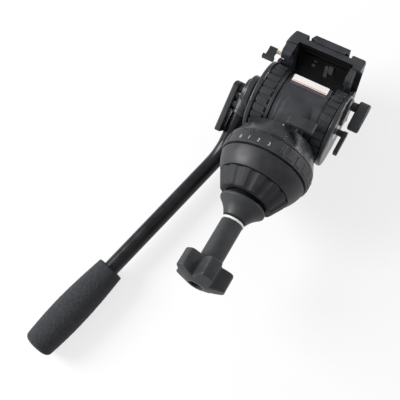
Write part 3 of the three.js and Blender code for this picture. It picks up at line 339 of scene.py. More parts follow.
def rubbed_edges(tree, colour, patches, wear):
    """A colour that turns to a pale grey along edges, in patches.

    The true normal times the rounded one is 1 on a flat face and falls towards an edge. The
    grey's share goes from 0 to wear while it falls from 0.995 to 0.93, times the patches."""
    new, link = tree.nodes.new, tree.links.new
    soft = new("ShaderNodeBevel")
    soft.samples = 4
    soft.inputs["Radius"].default_value = RUB_RADIUS
    flat = new("ShaderNodeNewGeometry")
    meet = new("ShaderNodeVectorMath")
    meet.operation = "DOT_PRODUCT"
    link(soft.outputs["Normal"], meet.inputs[0])
    link(flat.outputs["Normal"], meet.inputs[1])
    rubbed = new("ShaderNodeMapRange")
    rubbed.inputs["From Min"].default_value = RUB_STARTS
    rubbed.inputs["From Max"].default_value = RUB_FULL
    rubbed.inputs["To Max"].default_value = wear
    link(meet.outputs["Value"], rubbed.inputs["Value"])
    patchy = new("ShaderNodeMath")
    patchy.operation = "MULTIPLY"
    link(rubbed.outputs["Result"], patchy.inputs[0])
    link(patches, patchy.inputs[1])
    blend = new("ShaderNodeMix")
    blend.data_type = "RGBA"
    link(patchy.outputs["Value"], blend.inputs["Factor"])
    link(colour, blend.inputs["A"])
    blend.inputs["B"].default_value = RUBBED_GREY
    return blend.outputs["Result"]


# %% Material helper
CLOUD_LOW, CLOUD_HIGH = 0.3, 0.7


def finish(name, base, rough, grain_mm, grain, spread=0.25, rough_spread=0.08,
           metal=0.0, specular=0.5, sheen=0.0, cloud_mm=14.0, wear=0.0, pores_mm=0.0):
    """A principled material with broad colour clouds, fine bumps, rubbed edges and pores.

    colour = base times (1 - spread .. 1 + spread) by a slow noise, plus wear where the
    rounded normal leaves the true one; roughness moves by rough_spread with the same noise;
    the bump's height is a noise of grain_mm wide cells, plus the distance from the middle of
    the nearest pore where there are pores."""
    material = bpy.data.materials.new(name)
    material.use_nodes = True
    tree = material.node_tree
    new, link = tree.nodes.new, tree.links.new
    shader = tree.nodes["Principled BSDF"]
    place = new("ShaderNodeTexCoord")
    cloud = new("ShaderNodeTexNoise")
    cloud.inputs["Scale"].default_value = 1 / (cloud_mm * MM)
    cloud.inputs["Detail"].default_value = 4.0
    link(place.outputs["Object"], cloud.inputs["Vector"])
    ramp = new("ShaderNodeValToRGB")
    ends = ((CLOUD_LOW, 1 - spread), (CLOUD_HIGH, 1 + spread))
    for element, (position, share) in zip(ramp.color_ramp.elements, ends):
        element.position = position
        element.color = [c * share for c in base] + [1]
    link(cloud.outputs["Fac"], ramp.inputs["Fac"])
    colour = ramp.outputs["Color"]
    if wear:
        colour = rubbed_edges(tree, colour, cloud.outputs["Fac"], wear)
    link(colour, shader.inputs["Base Color"])
    gloss = new("ShaderNodeMapRange")
    gloss.inputs["From Min"].default_value = CLOUD_LOW
    gloss.inputs["From Max"].default_value = CLOUD_HIGH
    gloss.inputs["To Min"].default_value = rough - rough_spread
    gloss.inputs["To Max"].default_value = rough + rough_spread
    link(cloud.outputs["Fac"], gloss.inputs["Value"])
    link(gloss.outputs["Result"], shader.inputs["Roughness"])
    fine = new("ShaderNodeTexNoise")
    fine.inputs["Scale"].default_value = 1 / (grain_mm * MM)
    fine.inputs["Detail"].default_value = 2.0
    link(place.outputs["Object"], fine.inputs["Vector"])
    height = fine.outputs["Fac"]
    if pores_mm:
        cells = new("ShaderNodeTexVoronoi")
        cells.inputs["Scale"].default_value = 1 / (pores_mm * MM)
        link(place.outputs["Object"], cells.inputs["Vector"])
        both = new("ShaderNodeMath")
        both.operation = "ADD"
        link(height, both.inputs[0])
        link(cells.outputs["Distance"], both.inputs[1])
        height = both.outputs["Value"]
    bump = new("ShaderNodeBump")
    bump.inputs["Strength"].default_value = grain
    bump.inputs["Distance"].default_value = grain_mm * MM * 0.5
    link(height, bump.inputs["Height"])
    link(bump.outputs["Normal"], shader.inputs["Normal"])
    shader.inputs["Metallic"].default_value = metal
    shader.inputs["Specular IOR Level"].default_value = specular
    shader.inputs["Sheen Weight"].default_value = sheen
    print("finish", name, len(tree.nodes), "nodes")
    return material


# %% Black finishes
# Each call gives the colour, the roughness, the grain's width in mm and its strength.
paint = finish("satin_black_paint", (0.029, 0.030, 0.034), 0.32, 0.6, 0.08,
               wear=0.5, specular=0.45)
soft_paint = finish("matt_black_paint", (0.024, 0.0245, 0.028), 0.46, 0.6, 0.10,
                    wear=0.5, specular=0.32)
cup_paint = finish("dull_black_paint", (0.025, 0.0255, 0.029), 0.62, 0.6, 0.10,
                   wear=0.5, specular=0.2)
cover_paint = finish("gloss_black_paint", (0.020, 0.021, 0.024), 0.26, 0.6, 0.04,
                     wear=0.15, specular=0.5)
housing_paint = finish("satin_black_casting", (0.036, 0.037, 0.042), 0.42, 0.6, 0.10,
                       wear=0.5, specular=0.35)
plastic = finish("grained_black_plastic", (0.027, 0.028, 0.031), 0.50, 0.4, 0.16,
                 wear=0.4, specular=0.35)
tube_paint = finish("gloss_black_tube_paint", (0.010, 0.010, 0.012), 0.26, 0.8, 0.05,
                    specular=0.25)
rubber = finish("black_rubber", (0.010, 0.010, 0.011), 0.72, 0.3, 0.1)
foam = finish("black_foam", (0.034, 0.035, 0.039), 0.95, 0.7, 0.5, spread=0.3, sheen=0.1,
              specular=0.15, cloud_mm=2.5, pores_mm=1.1)
# Near black and matt, as painted shade: on the faces of the platform's hollow and on the washer in
# the groove under the cup.
painted_shade_black = finish("black_painted_shade", (0.003, 0.003, 0.0035), 0.6, 0.4, 0.05, specular=0.12)

# %% Metals, pale parts and inks
steel = finish("bright_steel", (0.55, 0.56, 0.58), 0.28, 0.2, 0.05, spread=0.1, metal=1.0)
alloy = finish("bare_alloy", (0.62, 0.63, 0.65), 0.35, 0.3, 0.08, spread=0.08, metal=1.0)
brass = finish("turned_brass", (0.86, 0.76, 0.55), 0.35, 0.2, 0.08, spread=0.15, metal=1.0)
zinc = finish("dull_zinc", (0.09, 0.09, 0.088), 0.5, 0.8, 0.06, spread=0.3, metal=0.4)
nylon = finish("white_nylon", (0.78, 0.78, 0.76), 0.45, 0.3, 0.04, spread=0.03)
film = finish("label_film", (0.80, 0.78, 0.75), 0.4, 0.4, 0.03, spread=0.04)
plum_film = finish("dull_plum_film", (0.070, 0.055, 0.066), 0.4, 0.8, 0.03, spread=0.2)
red_ink = finish("orange_red_ink", (0.62, 0.13, 0.05), 0.45, 0.4, 0.05, spread=0.1)
white_ink = finish("white_ink", (0.42, 0.42, 0.42), 0.5, 0.3, 0.05, spread=0.06)

# %% A finish for each slot
FINISH_OF_SLOT = {
    "black_casting": paint, "black_plastic": plastic, "black_rubber": rubber,
    "black_foam": foam, "bare_alloy": alloy, "steel": steel, "brass": brass,
    "white_nylon": nylon, "label_film": film,
}
for node, cad_piece in frame["nodes"].items():
    cad_piece.data.materials.clear()
    cad_piece.data.materials.append(FINISH_OF_SLOT[SLOT_OF[node]])
print("finishes for slots:", len(FINISH_OF_SLOT))


# %% Building a piece
def build(node, parts, material=None, name=None, smooth_deg=40.0, stands_for=True):
    """Makes one piece from shapes, and lets it stand for a CAD node."""
    piece = piece_from(name or node + "_surface", parts, smooth_deg)
    dress(piece, material or FINISH_OF_SLOT[SLOT_OF[node]], node, stands_for)
    print(piece.name, len(piece.data.polygons), "faces")
    return piece


# %% [markdown]
# ## Half ball and tie-down
# Under the dial hangs the 100 mm half ball, and below it what clamps it in the tripod: a
# fluted cup, a black washer, a cone nut, a rubber seal, a white nylon ring, a sleeve and a knob
# with five lobes. The washer is made near black, which paints the shade in the groove under the
# cup. All are turned, so all are lathe profiles. A Screw modifier could turn them
# too, but in arrays a formula can change the radius on the way: the cup's flutes are hollows
# with a round bottom, and the knob's lobes are a wave over the angle.

# %% Half ball
BALL_RADIUS, BALL_CENTRE = 49.6, 8.87
BALL_CUT, BALL_TOP = -20.8, -1.9
ball_z = np.linspace(BALL_CUT, BALL_TOP, 28)
ball_curve = np.stack([np.sqrt(BALL_RADIUS ** 2 - (ball_z - BALL_CENTRE) ** 2), ball_z], axis=-1)
ball_profile = [(6.5, BALL_CUT), *ball_curve, (46.6, BALL_TOP), (46.6, -0.3), (6.5, -0.3)]
build("half_ball", [lathe(ball_profile, 200, 0.6)], soft_paint)

# %% Fluted clamp cup
FLUTES, FLUTE_RADIUS, FLUTE_DEPTH = 14, 9.0, 1.5
CUP_RIM = 27


def fluted(r, a, h):
    """Radius cut by round hollows, each centred outside the wall.

    With the hollow's axis at distance c and the angle b from it, its near wall stands at
    c cos b - sqrt(R^2 - c^2 sin^2 b). The smaller of that and the plain radius is kept."""
    pitch = 2 * np.pi / FLUTES
    b = (a % pitch) - pitch / 2
    c = r + FLUTE_RADIUS - FLUTE_DEPTH
    inside = FLUTE_RADIUS ** 2 - (c * np.sin(b)) ** 2
    wall = c * np.cos(b) - np.sqrt(np.maximum(inside, 0))
    return np.where((inside > 0) & (r > CUP_RIM), np.minimum(r, wall), r)


cup_profile = [
    (6.5, -21.1), (6.5, -33.5), (23, -33.5), (23, -39.5),
    (29.4, -39.5), (30.6, -38.3), (39.3, -22.3), (38.1, -21.1),
]
build("clamp_cup", [lathe(cup_profile, FLUTES * 24, 0.7, fluted)], cup_paint)
# The washer gets the near-black material: painted shade in the groove under the cup.
washer_profile = [
    (6.5, -44.4), (24.6, -44.4), (24.6, -43.5), (22.4, -42.9), (22.4, -39.8), (6.5, -39.8),
]
build("thrust_washer", [lathe(washer_profile, 120, 0.3)], painted_shade_black)

# %% Cone nut, rings and sleeve
# The nut's wall is a cone less 1.6 sin(pi t), so it is a little hollow half way down.
CONE_WIDE, CONE_NARROWS, CONE_HOLLOW = 25.6, 12.7, 1.6
t = np.linspace(0, 1, 20)
taper_radius = CONE_WIDE - CONE_NARROWS * t - CONE_HOLLOW * np.sin(np.pi * t)
taper = np.stack([taper_radius, -47.3 - 16.5 * t], axis=-1)
build("cone_nut", [lathe([(9.5, -44.7), (CONE_WIDE, -44.7), *taper, (9.5, -63.8)], 140, 0.8)])
build("seal_ring", [lathe([(6.5, -65.8), (12.2, -65.8), (12.2, -64.1), (6.5, -64.1)], 100, 0.3)])
build("nylon_ring", [lathe([(6.5, -68.3), (12.6, -68.3), (12.6, -66.1), (6.5, -66.1)], 100, 0.4)])
build("knob_sleeve", [lathe([(7.0, -114.6), (12, -114.6), (12, -68.6), (7.0, -68.6)], 100, 0.8)])

# %% Star knob
KNOB_TURN, LOBES, LOBE_RADIUS, VALLEY_RADIUS = math.radians(-68), 5, 28.6, 17.0
SWELL, EASE, HUB_RADIUS = 1.35, 14, 20
NOSE_RADIUS, NOSE_TIP, NOSE_HEIGHT, NOSE_BASE = 10.5, -143.6, 6.2, -137.0


def lobed(r, a, h):
    """Where the profile is a lobe's (r beyond 20), the radius follows a clipped cosine wave.

    swell = min(1, 1.35 (1 + cos 5a) / 2), eased so the lobe's top meets its flanks softly,
    and below the lobes the cone of the nose limits it. How far the profile lies inside the
    full lobe stays as it is. Both limits are soft: min(p, q) is about -log(e^-p + e^-q)."""
    wave = SWELL * (1 + np.cos(LOBES * (a - KNOB_TURN))) / 2
    swell = -np.log(np.exp(-EASE * wave) + np.exp(-EASE)) / EASE
    star = VALLEY_RADIUS + (LOBE_RADIUS - VALLEY_RADIUS) * swell
    cone = NOSE_RADIUS + (LOBE_RADIUS - NOSE_RADIUS) * (h - NOSE_TIP) / NOSE_HEIGHT
    cone = np.maximum(cone, NOSE_RADIUS)
    limit = -np.log(np.exp(-star) + np.exp(-cone))
    full = np.where(h < NOSE_BASE, np.minimum(limit, star), star)
    inside = (LOBE_RADIUS - r) * np.where(h > NOSE_BASE, 1, 0)
    return np.where(r > HUB_RADIUS, full - inside, np.minimum(r, full))


nose_z = np.linspace(-137.4, -143.2, 12)
knob_profile = [
    (7.6, -114.9), (14.5, -114.9), (14.5, -116.9), (21, -116.9), (27.4, -116.9), (28.3, -117.6),
    (LOBE_RADIUS, -118.6), (LOBE_RADIUS, -136.2), *[(LOBE_RADIUS, z) for z in nose_z],
    (NOSE_RADIUS, NOSE_TIP), (7.6, NOSE_TIP),
]
build("star_knob", [lathe(knob_profile, 360, 0.4, lobed)], smooth_deg=50)
build("tie_down_stud", [lathe([(0, -127), (5.2, -127), (6, -126), (6, 3.5), (0, 3.5)], 48, 0.2)])

# %% [markdown]
# ## Pan dial and cone cover
# The drag ring carries 22 raised pads, the plain part between them shows the numbers 0 to 3,
# and the cover above has a slanted boss with the white index dot. Pads and boss are a small
# height added to the radius, ramped over less than a millimetre so their flanks are steep.
# Extruded faces would give the same pads, but a formula spaces them evenly and the grid is
# fine enough to carry such a flank.

# %% Pan dial
DIAL_RADIUS = 50
PAD_FIRST, PAD_PITCH, PADS = -74.0, 13.2, 22
PAD_HEIGHT, PAD_MIDDLE, PAD_HALF_WIDTH, PAD_HALF_DEPTH = 0.8, 8.0, 4.1, 5.7


def ramp(distance, width=0.8):
    """0 outside an edge, 1 inside it, straight in between."""
    return np.clip(distance / width, 0, 1)


def padded_rim(r, a, h):
    """Radius plus 0.8 where both the angle and the height are inside a pad."""
    turn = (np.degrees(a) - PAD_FIRST) % 360
    near = np.minimum(np.round(turn / PAD_PITCH), PADS - 1) * PAD_PITCH
    off = np.radians(np.abs((turn - near + 180) % 360 - 180)) * DIAL_RADIUS
    pad = ramp(PAD_HALF_WIDTH - off) * ramp(PAD_HALF_DEPTH - np.abs(h - PAD_MIDDLE))
    return np.where(r > DIAL_RADIUS - 1, r + PAD_HEIGHT * pad, r)


dial_z = [0.9, *np.linspace(1.1, 14.9, 26), 15.1]
dial_profile = [
    (44, 0.3), (49.4, 0.3), *[(DIAL_RADIUS, z) for z in dial_z], (49.4, 15.7), (44, 15.7),
]
build("pan_drag_dial", [lathe(dial_profile, 720, 0.2, padded_rim)])

# %% Cone cover
COVER_FOOT_RADIUS, COVER_FOOT = 49.6, 17.6
COVER_TOP_RADIUS, COVER_TOP = 40.9, 38.2
COVER_SLOPE = (COVER_FOOT_RADIUS - COVER_TOP_RADIUS) / (COVER_TOP - COVER_FOOT)
BOSS_RISE, BOSS_STEP, STEP_Z, STEP_LENGTH = 1.7, 0.9, 31, 6
BOSS_RIGHT, BOSS_LEFT, BOSS_LEAN = 11.0, -4.0, 4.0
BOSS_FOOT, BOSS_START, BOSS_LENGTH, WALL_INSIDE = 16, 16.8, 23.4, 39.3


def bossed(r, a, h):
    """Radius plus 1.7 inside the slanted boss, and 2.6 in its lower part.

    The boss's right side stands at x = 11, and its left side leans from x = -4 to -8."""
    x, front = r * np.cos(a), r * np.sin(a) < 0
    left = BOSS_LEFT - BOSS_LEAN * (h - BOSS_FOOT) / BOSS_LENGTH
    inside = ramp(BOSS_RIGHT - x) * ramp(x - left) * ramp(h - BOSS_START)
    height = BOSS_RISE + BOSS_STEP * np.clip((STEP_Z - h) / STEP_LENGTH, 0, 1)
    return np.where(front & (r > WALL_INSIDE) & (h > BOSS_FOOT), r + height * inside, r)


cover_z = np.linspace(17.8, 38.0, 22)
cover_wall = [(COVER_FOOT_RADIUS - COVER_SLOPE * (z - COVER_FOOT), z) for z in cover_z]
cover_profile = [
    (13, 33.8), (36.2, 33.8), (38.7, 16.0), (COVER_FOOT_RADIUS, 16.0),
    (COVER_FOOT_RADIUS, COVER_FOOT), *cover_wall, (COVER_TOP_RADIUS, COVER_TOP),
    (40.4, 38.9), (39.4, 39.4), (36, 39.4), (13, 39.4),
]
build("cone_cover", [lathe(cover_profile, 720, 0.3, bossed)], cover_paint)

# %% [markdown]
# ## Numbers and index dot
# The dial's numbers are printed, so they stand out from it by hardly anything. A text object
# gives each digit's flat shape. It becomes a mesh first, and its points are then bent round
# the dial by arithmetic, so that the piece stays at the origin like all others.

# %% Numbers and index dot
NUMBER_DEGREES = (-38.5, -26.0, -13.0, 0.5)


def number_on_dial(digit, degrees, middle_z=5.6, size=5.6):
    """A digit bent round the dial: its x runs along the rim and its y along the pan axis.

    Point = (R cos a, R sin a, middle + y), with a = x / 50 from the digit's own direction."""
    words = bpy.data.curves.new("digit", "FONT")
    words.body = digit
    words.size = size
    words.extrude = 0.06
    words.offset = 0.05
    words.align_x = "CENTER"
    words.align_y = "CENTER"
    holder = bpy.data.objects.new("digit", words)
    bpy.context.scene.collection.objects.link(holder)
    bpy.context.view_layer.update()
    graph = bpy.context.evaluated_depsgraph_get()
    mesh = bpy.data.meshes.new_from_object(holder.evaluated_get(graph))
    bpy.data.objects.remove(holder)
    flat = np.empty(len(mesh.vertices) * 3)
    mesh.vertices.foreach_get("co", flat)
    x, y, lift = flat.reshape(-1, 3).T
    radius = 50.08 + lift
    angle = np.radians(degrees - 90) + x / DIAL_RADIUS
    bent = np.stack([radius * np.cos(angle), radius * np.sin(angle), middle_z + y], axis=-1)
    return bent, [list(face.vertices) for face in mesh.polygons]


numbers = [number_on_dial(str(i), degrees) for i, degrees in enumerate(NUMBER_DEGREES)]
build("pan_drag_dial", numbers, white_ink, "dial_numbers", stands_for=False)

# %% Index dot
DOT_SIDE, DOT_Z, DOT_TURN = 1.8, 36.0, 0.044
dot_radius = COVER_TOP_RADIUS + BOSS_RISE + COVER_SLOPE * 2.2
dot = lathe([(0, 0), (1.0, 0), (1.0, 0.25), (0, 0.25)], 32, 0.05)
dot_lean = (math.sin(DOT_TURN), -math.cos(DOT_TURN), COVER_SLOPE)
dot_at = (DOT_SIDE, -dot_radius + 0.05, DOT_Z)
build("cone_cover", [onto(dot, dot_at, dot_lean)], white_ink, "index_dot", stands_for=False)

# %% [markdown]
# ## Rings on the tilt axis
# The drag ring and the balance ring are grips with 28 square lugs. Their rim is an outline
# that steps between two radii, and a slab with a small rim radius gives each lug soft edges.
# About a quarter of the pitch is the groove. An array of separate lugs would do as well, but
# would leave faces hidden inside. Between drag ring and housing runs a plain flange.

# %% Lugged rings
AXIS = (0.0, 0.0, 81.0)
LUGS, LUG_OUT, LUG_ROOT, GROOVE_SHARE = 28, 41.2, 39.4, 0.26


def lug_outline():
    """Closed outline: per lug, a short run at the root radius and a long one at the outer."""
    pitch = 360 / LUGS
    gap = pitch * GROOVE_SHARE
    spans = []
    for i in range(LUGS):
        start = i * pitch
        spans.append(arc((0, 0), LUG_ROOT, start, start + gap, 2))
        spans.append(arc((0, 0), LUG_OUT, start + gap * 1.2, start + pitch - gap * 0.2, 8))
    return np.concatenate(spans)


drag_ring = slab(lug_outline(), -40.1, -27.5, 0.7)
drag_collar = lathe([(24.3, -28.4), (39.4, -28.4), (39.4, -25.9), (24.3, -25.9)], 160, 0.4)
build("tilt_drag_ring", [along_x(drag_ring, AXIS), along_x(drag_collar, AXIS)])
build("balance_ring", [along_x(slab(lug_outline(), 29.5, 41.2, 0.7), AXIS)])
flange = lathe([(20, -25.6), (40, -25.6), (40, -22.3), (20, -22.3)], 160, 0.5)
build("bearing_flange", [along_x(flange, AXIS)])

# %% [markdown]
# ## Handle joint, tube and grip
# A toothed rosette on the left arm meets the clamp's disc. The clamp's socket takes the bent
# tube, which is one circle carried along a path of two straights and a bend. The foam grip is
# a crowned sleeve with a rounded end: it swells to the middle, and its skin is uneven because
# foam is cut and not moulded. Shapes are worked out in the handle's own frame, where the tube
# hangs nearly straight down, and are then turned to where the handle rests. A curve object
# with a bevel could give the tube too, but its mesh would still have to be turned and capped.

# %% Handle frame
SWING = math.radians(43.9)
TILT_UP = about_x(SWING)
AXIS_POINT = np.array(AXIS)


def swung(part, turn=TILT_UP):
    """Turns a shape of the handle's own frame about the tilt axis to where it rests."""
    return part[0] @ turn.T + AXIS_POINT, part[1]


FLARE, OUTWARD, BACKWARD = np.radians([3.0, 14.64, 10.64])
TUBE_DOWN = np.array([-math.sin(FLARE), 0, -math.cos(FLARE)])
GRIP_DOWN = np.array([
    -math.sin(OUTWARD),
    math.sin(BACKWARD - SWING) * math.cos(OUTWARD),
    -math.cos(BACKWARD - SWING) * math.cos(OUTWARD),
])
TUBE_START = np.array([-58.0, 0, 0])
KNEE = TUBE_START + TUBE_DOWN * 78.9
print("the tube bends at", np.round(KNEE, 1), "in the handle's frame")

# %% Rosette
# The toothed outline's radius is a triangle wave: 18 less 0.9 times the distance from a tip.
TEETH, TOOTH_TIP, TOOTH_DEPTH = 40, 18, 0.9
teeth_angle = np.linspace(0, 2 * np.pi, TEETH * 6, endpoint=False)
from_tip = np.abs(((teeth_angle * TEETH / (2 * np.pi)) % 1) * 2 - 1)
teeth_radius = TOOTH_TIP - TOOTH_DEPTH * from_tip
teeth = np.stack([teeth_radius * np.cos(teeth_angle), teeth_radius * np.sin(teeth_angle)], axis=-1)
rosette_back = lathe([(9.3, -48.4), (17.2, -48.4), (17.2, -46.9), (9.3, -46.9)], 120, 0.3)
build("rosette", [along_x(slab(teeth, -51.5, -48.0, 0.3), AXIS), along_x(rosette_back, AXIS)])

# %% Handle clamp
clamp_disc = lathe([
    (4.3, -51.6), (18.6, -51.6), (20, -53), (20, -58.6), (18.5, -60.1),
    (14.8, -60.3), (14.4, -62.8), (13.2, -64.1), (4.3, -64.1),
], 160, 0.9)
socket = lathe([
    (0, 8), (11, 8), (11, 21.4), (10.5, 21.9), (10.5, 22.5), (11, 23.0), (11, 26.2),
    (10.4, 27), (0, 27),
], 120, 0.4)
pinch = lathe([(0, -9.6), (3.4, -9.6), (3.4, 9.6), (0, 9.6)], 48, 0.6)
pinch_at = TUBE_START + TUBE_DOWN * 17.5 + np.array([-8.3, 0, 0])
build("handle_clamp", [
    swung(along_x(clamp_disc)),
    swung(onto(socket, TUBE_START, TUBE_DOWN)),
    swung(along_y(pinch, pinch_at)),
])

# %% Bent tube
def tube_along(stations, directions, side, radius, sides=64, rim=0.6):
    """A circle carried along a flat path, its ends closed by caps with a small round.

    Point = station + r cos(a) side + r sin(a) (direction x side)."""
    a = np.linspace(0, 2 * np.pi, sides, endpoint=False)
    p, d = np.asarray(stations), np.asarray(directions)
    p = np.concatenate([[p[0]], [p[0] + d[0] * rim], p[1:-1], [p[-1] - d[-1] * rim], [p[-1]]])
    d = np.concatenate([[d[0]], d, [d[-1]]])
    r = np.full(len(p), radius)
    r[[0, -1]] -= rim
    third = np.cross(d, side)
    circle = np.cos(a)[None, :, None] * side + np.sin(a)[None, :, None] * third[:, None]
    points = p[:, None] + r[:, None, None] * circle
    rows = len(p)
    faces = grid_faces(rows, sides, close_rows=False)
    return points, faces + [list(range(sides)), list(range((rows - 1) * sides, rows * sides))]


# %% Path of the tube
# A bend of radius R and angle b leaves its straight R tan(b / 2) before the knee. Its points
# are start + R sin(a) down + R (1 - cos a) inward, with a from 0 to b.
BEND_RADIUS, TUBE_RADIUS = 55.0, 9.3
bend_angle = math.acos(np.dot(TUBE_DOWN, GRIP_DOWN))
inward = GRIP_DOWN - np.dot(GRIP_DOWN, TUBE_DOWN) * TUBE_DOWN
inward /= np.linalg.norm(inward)
bend_start = KNEE - TUBE_DOWN * BEND_RADIUS * math.tan(bend_angle / 2)
angles = np.linspace(0, bend_angle, 24)[:, None]
bend_points = (bend_start + TUBE_DOWN * BEND_RADIUS * np.sin(angles)
               + inward * BEND_RADIUS * (1 - np.cos(angles)))
bend_ways = TUBE_DOWN * np.cos(angles) + inward * np.sin(angles)
start, end = TUBE_START + TUBE_DOWN * 19.4, KNEE + GRIP_DOWN * 297.7
path = np.concatenate([[start], bend_points, [end]])
ways = np.concatenate([[TUBE_DOWN], bend_ways, [GRIP_DOWN]])
tube = tube_along(path, ways, np.cross(TUBE_DOWN, inward), TUBE_RADIUS)
build("handle_tube", [swung(tube)], tube_paint)

# %% Foam grip
# The barrel's radius rises from 16 by 3.6 sin to the middle and drops by 2 (1 - cos) beyond it.
GRIP_LENGTH, GRIP_SIDES = 118.0, 220
SKIN_NOISE, SKIN_LIMIT = 0.09, 0.2
s = np.linspace(0.6, 111.5, 90)
middle = GRIP_LENGTH * 0.58
rise = 16 + 3.6 * np.sin(np.pi / 2 * np.clip(s / middle, 0, 1))
drop = 2.0 * (1 - np.cos(np.pi / 2 * np.clip((s - middle) / (112 - middle), 0, 1)))
end_round = arc((11.6, 112), 6.0, 4, 90, 12)
grip_profile = [
    (9.6, 0), (14.6, 0), (15.5, 0.25), *np.stack([rise - drop, s], axis=-1), *end_round,
    (6, GRIP_LENGTH), (0, GRIP_LENGTH), (0, 114), (9.6, 114),
]
chance = np.random.default_rng(7)


def uneven(r, a, h):
    """Radius plus a small noise on the outer skin, at most 0.2 mm, less 0.1 mm.

    Three times each value is replaced by the mean of itself and its four neighbours."""
    noise = chance.standard_normal(r.shape)
    for _ in range(3):
        noise = (noise + np.roll(noise, 1, 0) + np.roll(noise, -1, 0)
                 + np.roll(noise, 1, 1) + np.roll(noise, -1, 1)) / 5
    noise *= SKIN_NOISE / noise.std()
    skin = (r > 13) & (h < GRIP_LENGTH - 1)
    return np.where(skin, r + np.clip(noise, -SKIN_LIMIT, SKIN_LIMIT) - 0.1, r)


grip = lathe(grip_profile, GRIP_SIDES, 0.4, uneven)
grip_at = KNEE + GRIP_DOWN * 184
grip_piece = build("handle_grip", [swung(onto(grip, grip_at, GRIP_DOWN))], foam, "foam_grip",
                   smooth_deg=60)

# %% [markdown]
# ## Arms, platform and lock levers
# The arms, platform, camera plate and lock levers are cast or moulded shapes with flat faces,
# and the CAD already has their outlines. A merged copy keeps those outlines, and a bevel
# rounds each edge by the casting's own radius, so that edges catch light.

# %% Rounded copies
COPIED = {
    "platform": 0.8, "left_arm": 0.9, "right_arm": 0.9, "camera_plate": 0.6,
    "pan_lock_lever": 0.7, "tilt_lock_lever": 0.9, "plate_lock_lever": 0.8,
    "tilt_lock_boss": 0.5, "plate_pad_left": 0.3, "plate_pad_right": 0.3,
}
for node, edge in COPIED.items():
    dress(copy_of(node, edge), FINISH_OF_SLOT[SLOT_OF[node]], node)
print("copies:", len(COPIED))

# %% [markdown]
# ## Underside of the platform
# Below, the platform is hollow between its cheeks, and little light gets in, so the hollow lies
# in shade. A second material on the faces of the hollow, near black and matt, paints that shade.
# Which faces they are follows from where their middles lie. Two zinc bars and three hollow
# screws stand out from its floor.

# %% Underside of the platform
POCKET_LEFT, POCKET_RIGHT = -28, 34.4
POCKET_LOW, POCKET_WALL, POCKET_HIGH = 131, 131.3, 134.9
underside = bpy.data.objects["platform_dressed"]
# The faces of the hollow get the near-black second material: painted shade.
underside.data.materials.append(painted_shade_black)
for polygon in underside.data.polygons:
    x, _, z = polygon.center / MM
    in_pocket = POCKET_LEFT < x < POCKET_RIGHT and POCKET_LOW < z < POCKET_HIGH
    looks_down = polygon.normal.z < -0.3
    polygon.material_index = int(in_pocket and (z > POCKET_WALL or looks_down))
print("faces in the hollow:", sum(p.material_index for p in underside.data.polygons))

# %% Bars and screws in the hollow
BARS = ((7.2, -17, 2.1, 10), (12.3, -24, 2.7, 8))  # middle x and y, half width, half depth
SCREWS = ((-8.0, -19.0, 0.0), (-7.0, -27.0, 0.0), (20.0, 14.0, 0.0))
bars = [rounded_box(x - w, x + w, y - d, y + d, 1.5) for x, y, w, d in BARS]
build("platform", [slab(bar, 133.2, 134.7, 0.4) for bar in bars], zinc, "pocket_sliders")
screw = lathe([(0.6, 133.4), (2.2, 133.4), (2.2, 134.7), (0.6, 134.7)], 32, 0.3)
build("platform", [moved(screw, at) for at in SCREWS], zinc, "pocket_screws")

# %% [markdown]
# ## Housing
# The housing is one casting: a belly round the tilt axis with an arched crown, a disc to each
# side, a hub, and the column below. Where the column meets the belly the casting has a soft
# fillet. The column is therefore a stack of outlines, and each of its points moves outwards
# the nearer it comes to the belly's surface. It is made as a front and a back half, with a
# ring between them round the pan spindle, whose nut needs the room.

# %% Outline of the housing
BELLY, CROWN, SHOULDER_Y, SHOULDER_Z = 39.0, 32.0, 38.2, 20.0
SHOULDER_CORNER = 0.8
crown_deg = math.degrees(math.atan2(SHOULDER_Z, SHOULDER_Y)
                         + math.acos(CROWN / math.hypot(SHOULDER_Z, SHOULDER_Y)))
face_outline = np.concatenate([
    arc((0, 0), BELLY, -180, 0, 60),
    arc((SHOULDER_Y, SHOULDER_Z - SHOULDER_CORNER), SHOULDER_CORNER, 0, 90, 5),
    arc((0, 0), CROWN, crown_deg, 180 - crown_deg, 24),
    arc((-SHOULDER_Y, SHOULDER_Z - SHOULDER_CORNER), SHOULDER_CORNER, 90, 180, 5),
])
print("the housing's outline has", len(face_outline), "points")

# %% Column
COLUMN_FOOT, CORE_TOP, COLUMN_TOP = 39.7, 56.0, 78.0
FOOT_DEPTH, DEPTH_GAIN, PLAN_DEPTH = 36.4, 2.3, 38.7
FILLET, MIDDLE_X, FLAT_HALF = 7.0, 2, 9
MOST_LEFT, MOST_RIGHT = 0.5, 4.0


def column_part(plan, low, high, rows):
    """A stack of one outline between two heights: its depth narrows to the foot, its width flares.

    With d the distance of a point to the belly (radius 39 round the tilt axis), its x moves
    out by R - sqrt(R^2 - (R - d)^2) while d is below the fillet's R, by at most 0.5 mm on
    the left and 4 mm on the right. Long sides of the outline are first divided by 13."""
    steps = np.linspace(0, 1, 14)[1:-1]
    dense = []
    for p, q in zip(plan, np.roll(plan, -1, axis=0)):
        dense.append(p)
        if np.linalg.norm(q - p) > 10:
            dense += [p + (q - p) * t for t in steps]
    plan = np.array(dense)
    z = np.linspace(low, high, rows)[:, None]
    share = (z - COLUMN_FOOT) / (COLUMN_TOP - COLUMN_FOOT)
    y = plan[:, 1] * (FOOT_DEPTH + DEPTH_GAIN * share) / PLAN_DEPTH
    near = np.clip(np.hypot(y, z - AXIS[2]) - BELLY, 0, FILLET)
    flare = FILLET - np.sqrt(FILLET ** 2 - (FILLET - near) ** 2)
    side = plan[:, 0] - MIDDLE_X
    most = np.where(side < 0, MOST_LEFT, MOST_RIGHT)
    x = plan[:, 0] + np.sign(side) * np.minimum(flare, most) * (np.abs(side) > FLAT_HALF)
    points = np.stack([x, y, z + 0 * x], axis=-1)
    columns = points.shape[1]
    faces = grid_faces(rows, columns, close_rows=False)
    return points, faces + [list(range(columns)), list(range((rows - 1) * columns, rows * columns))]


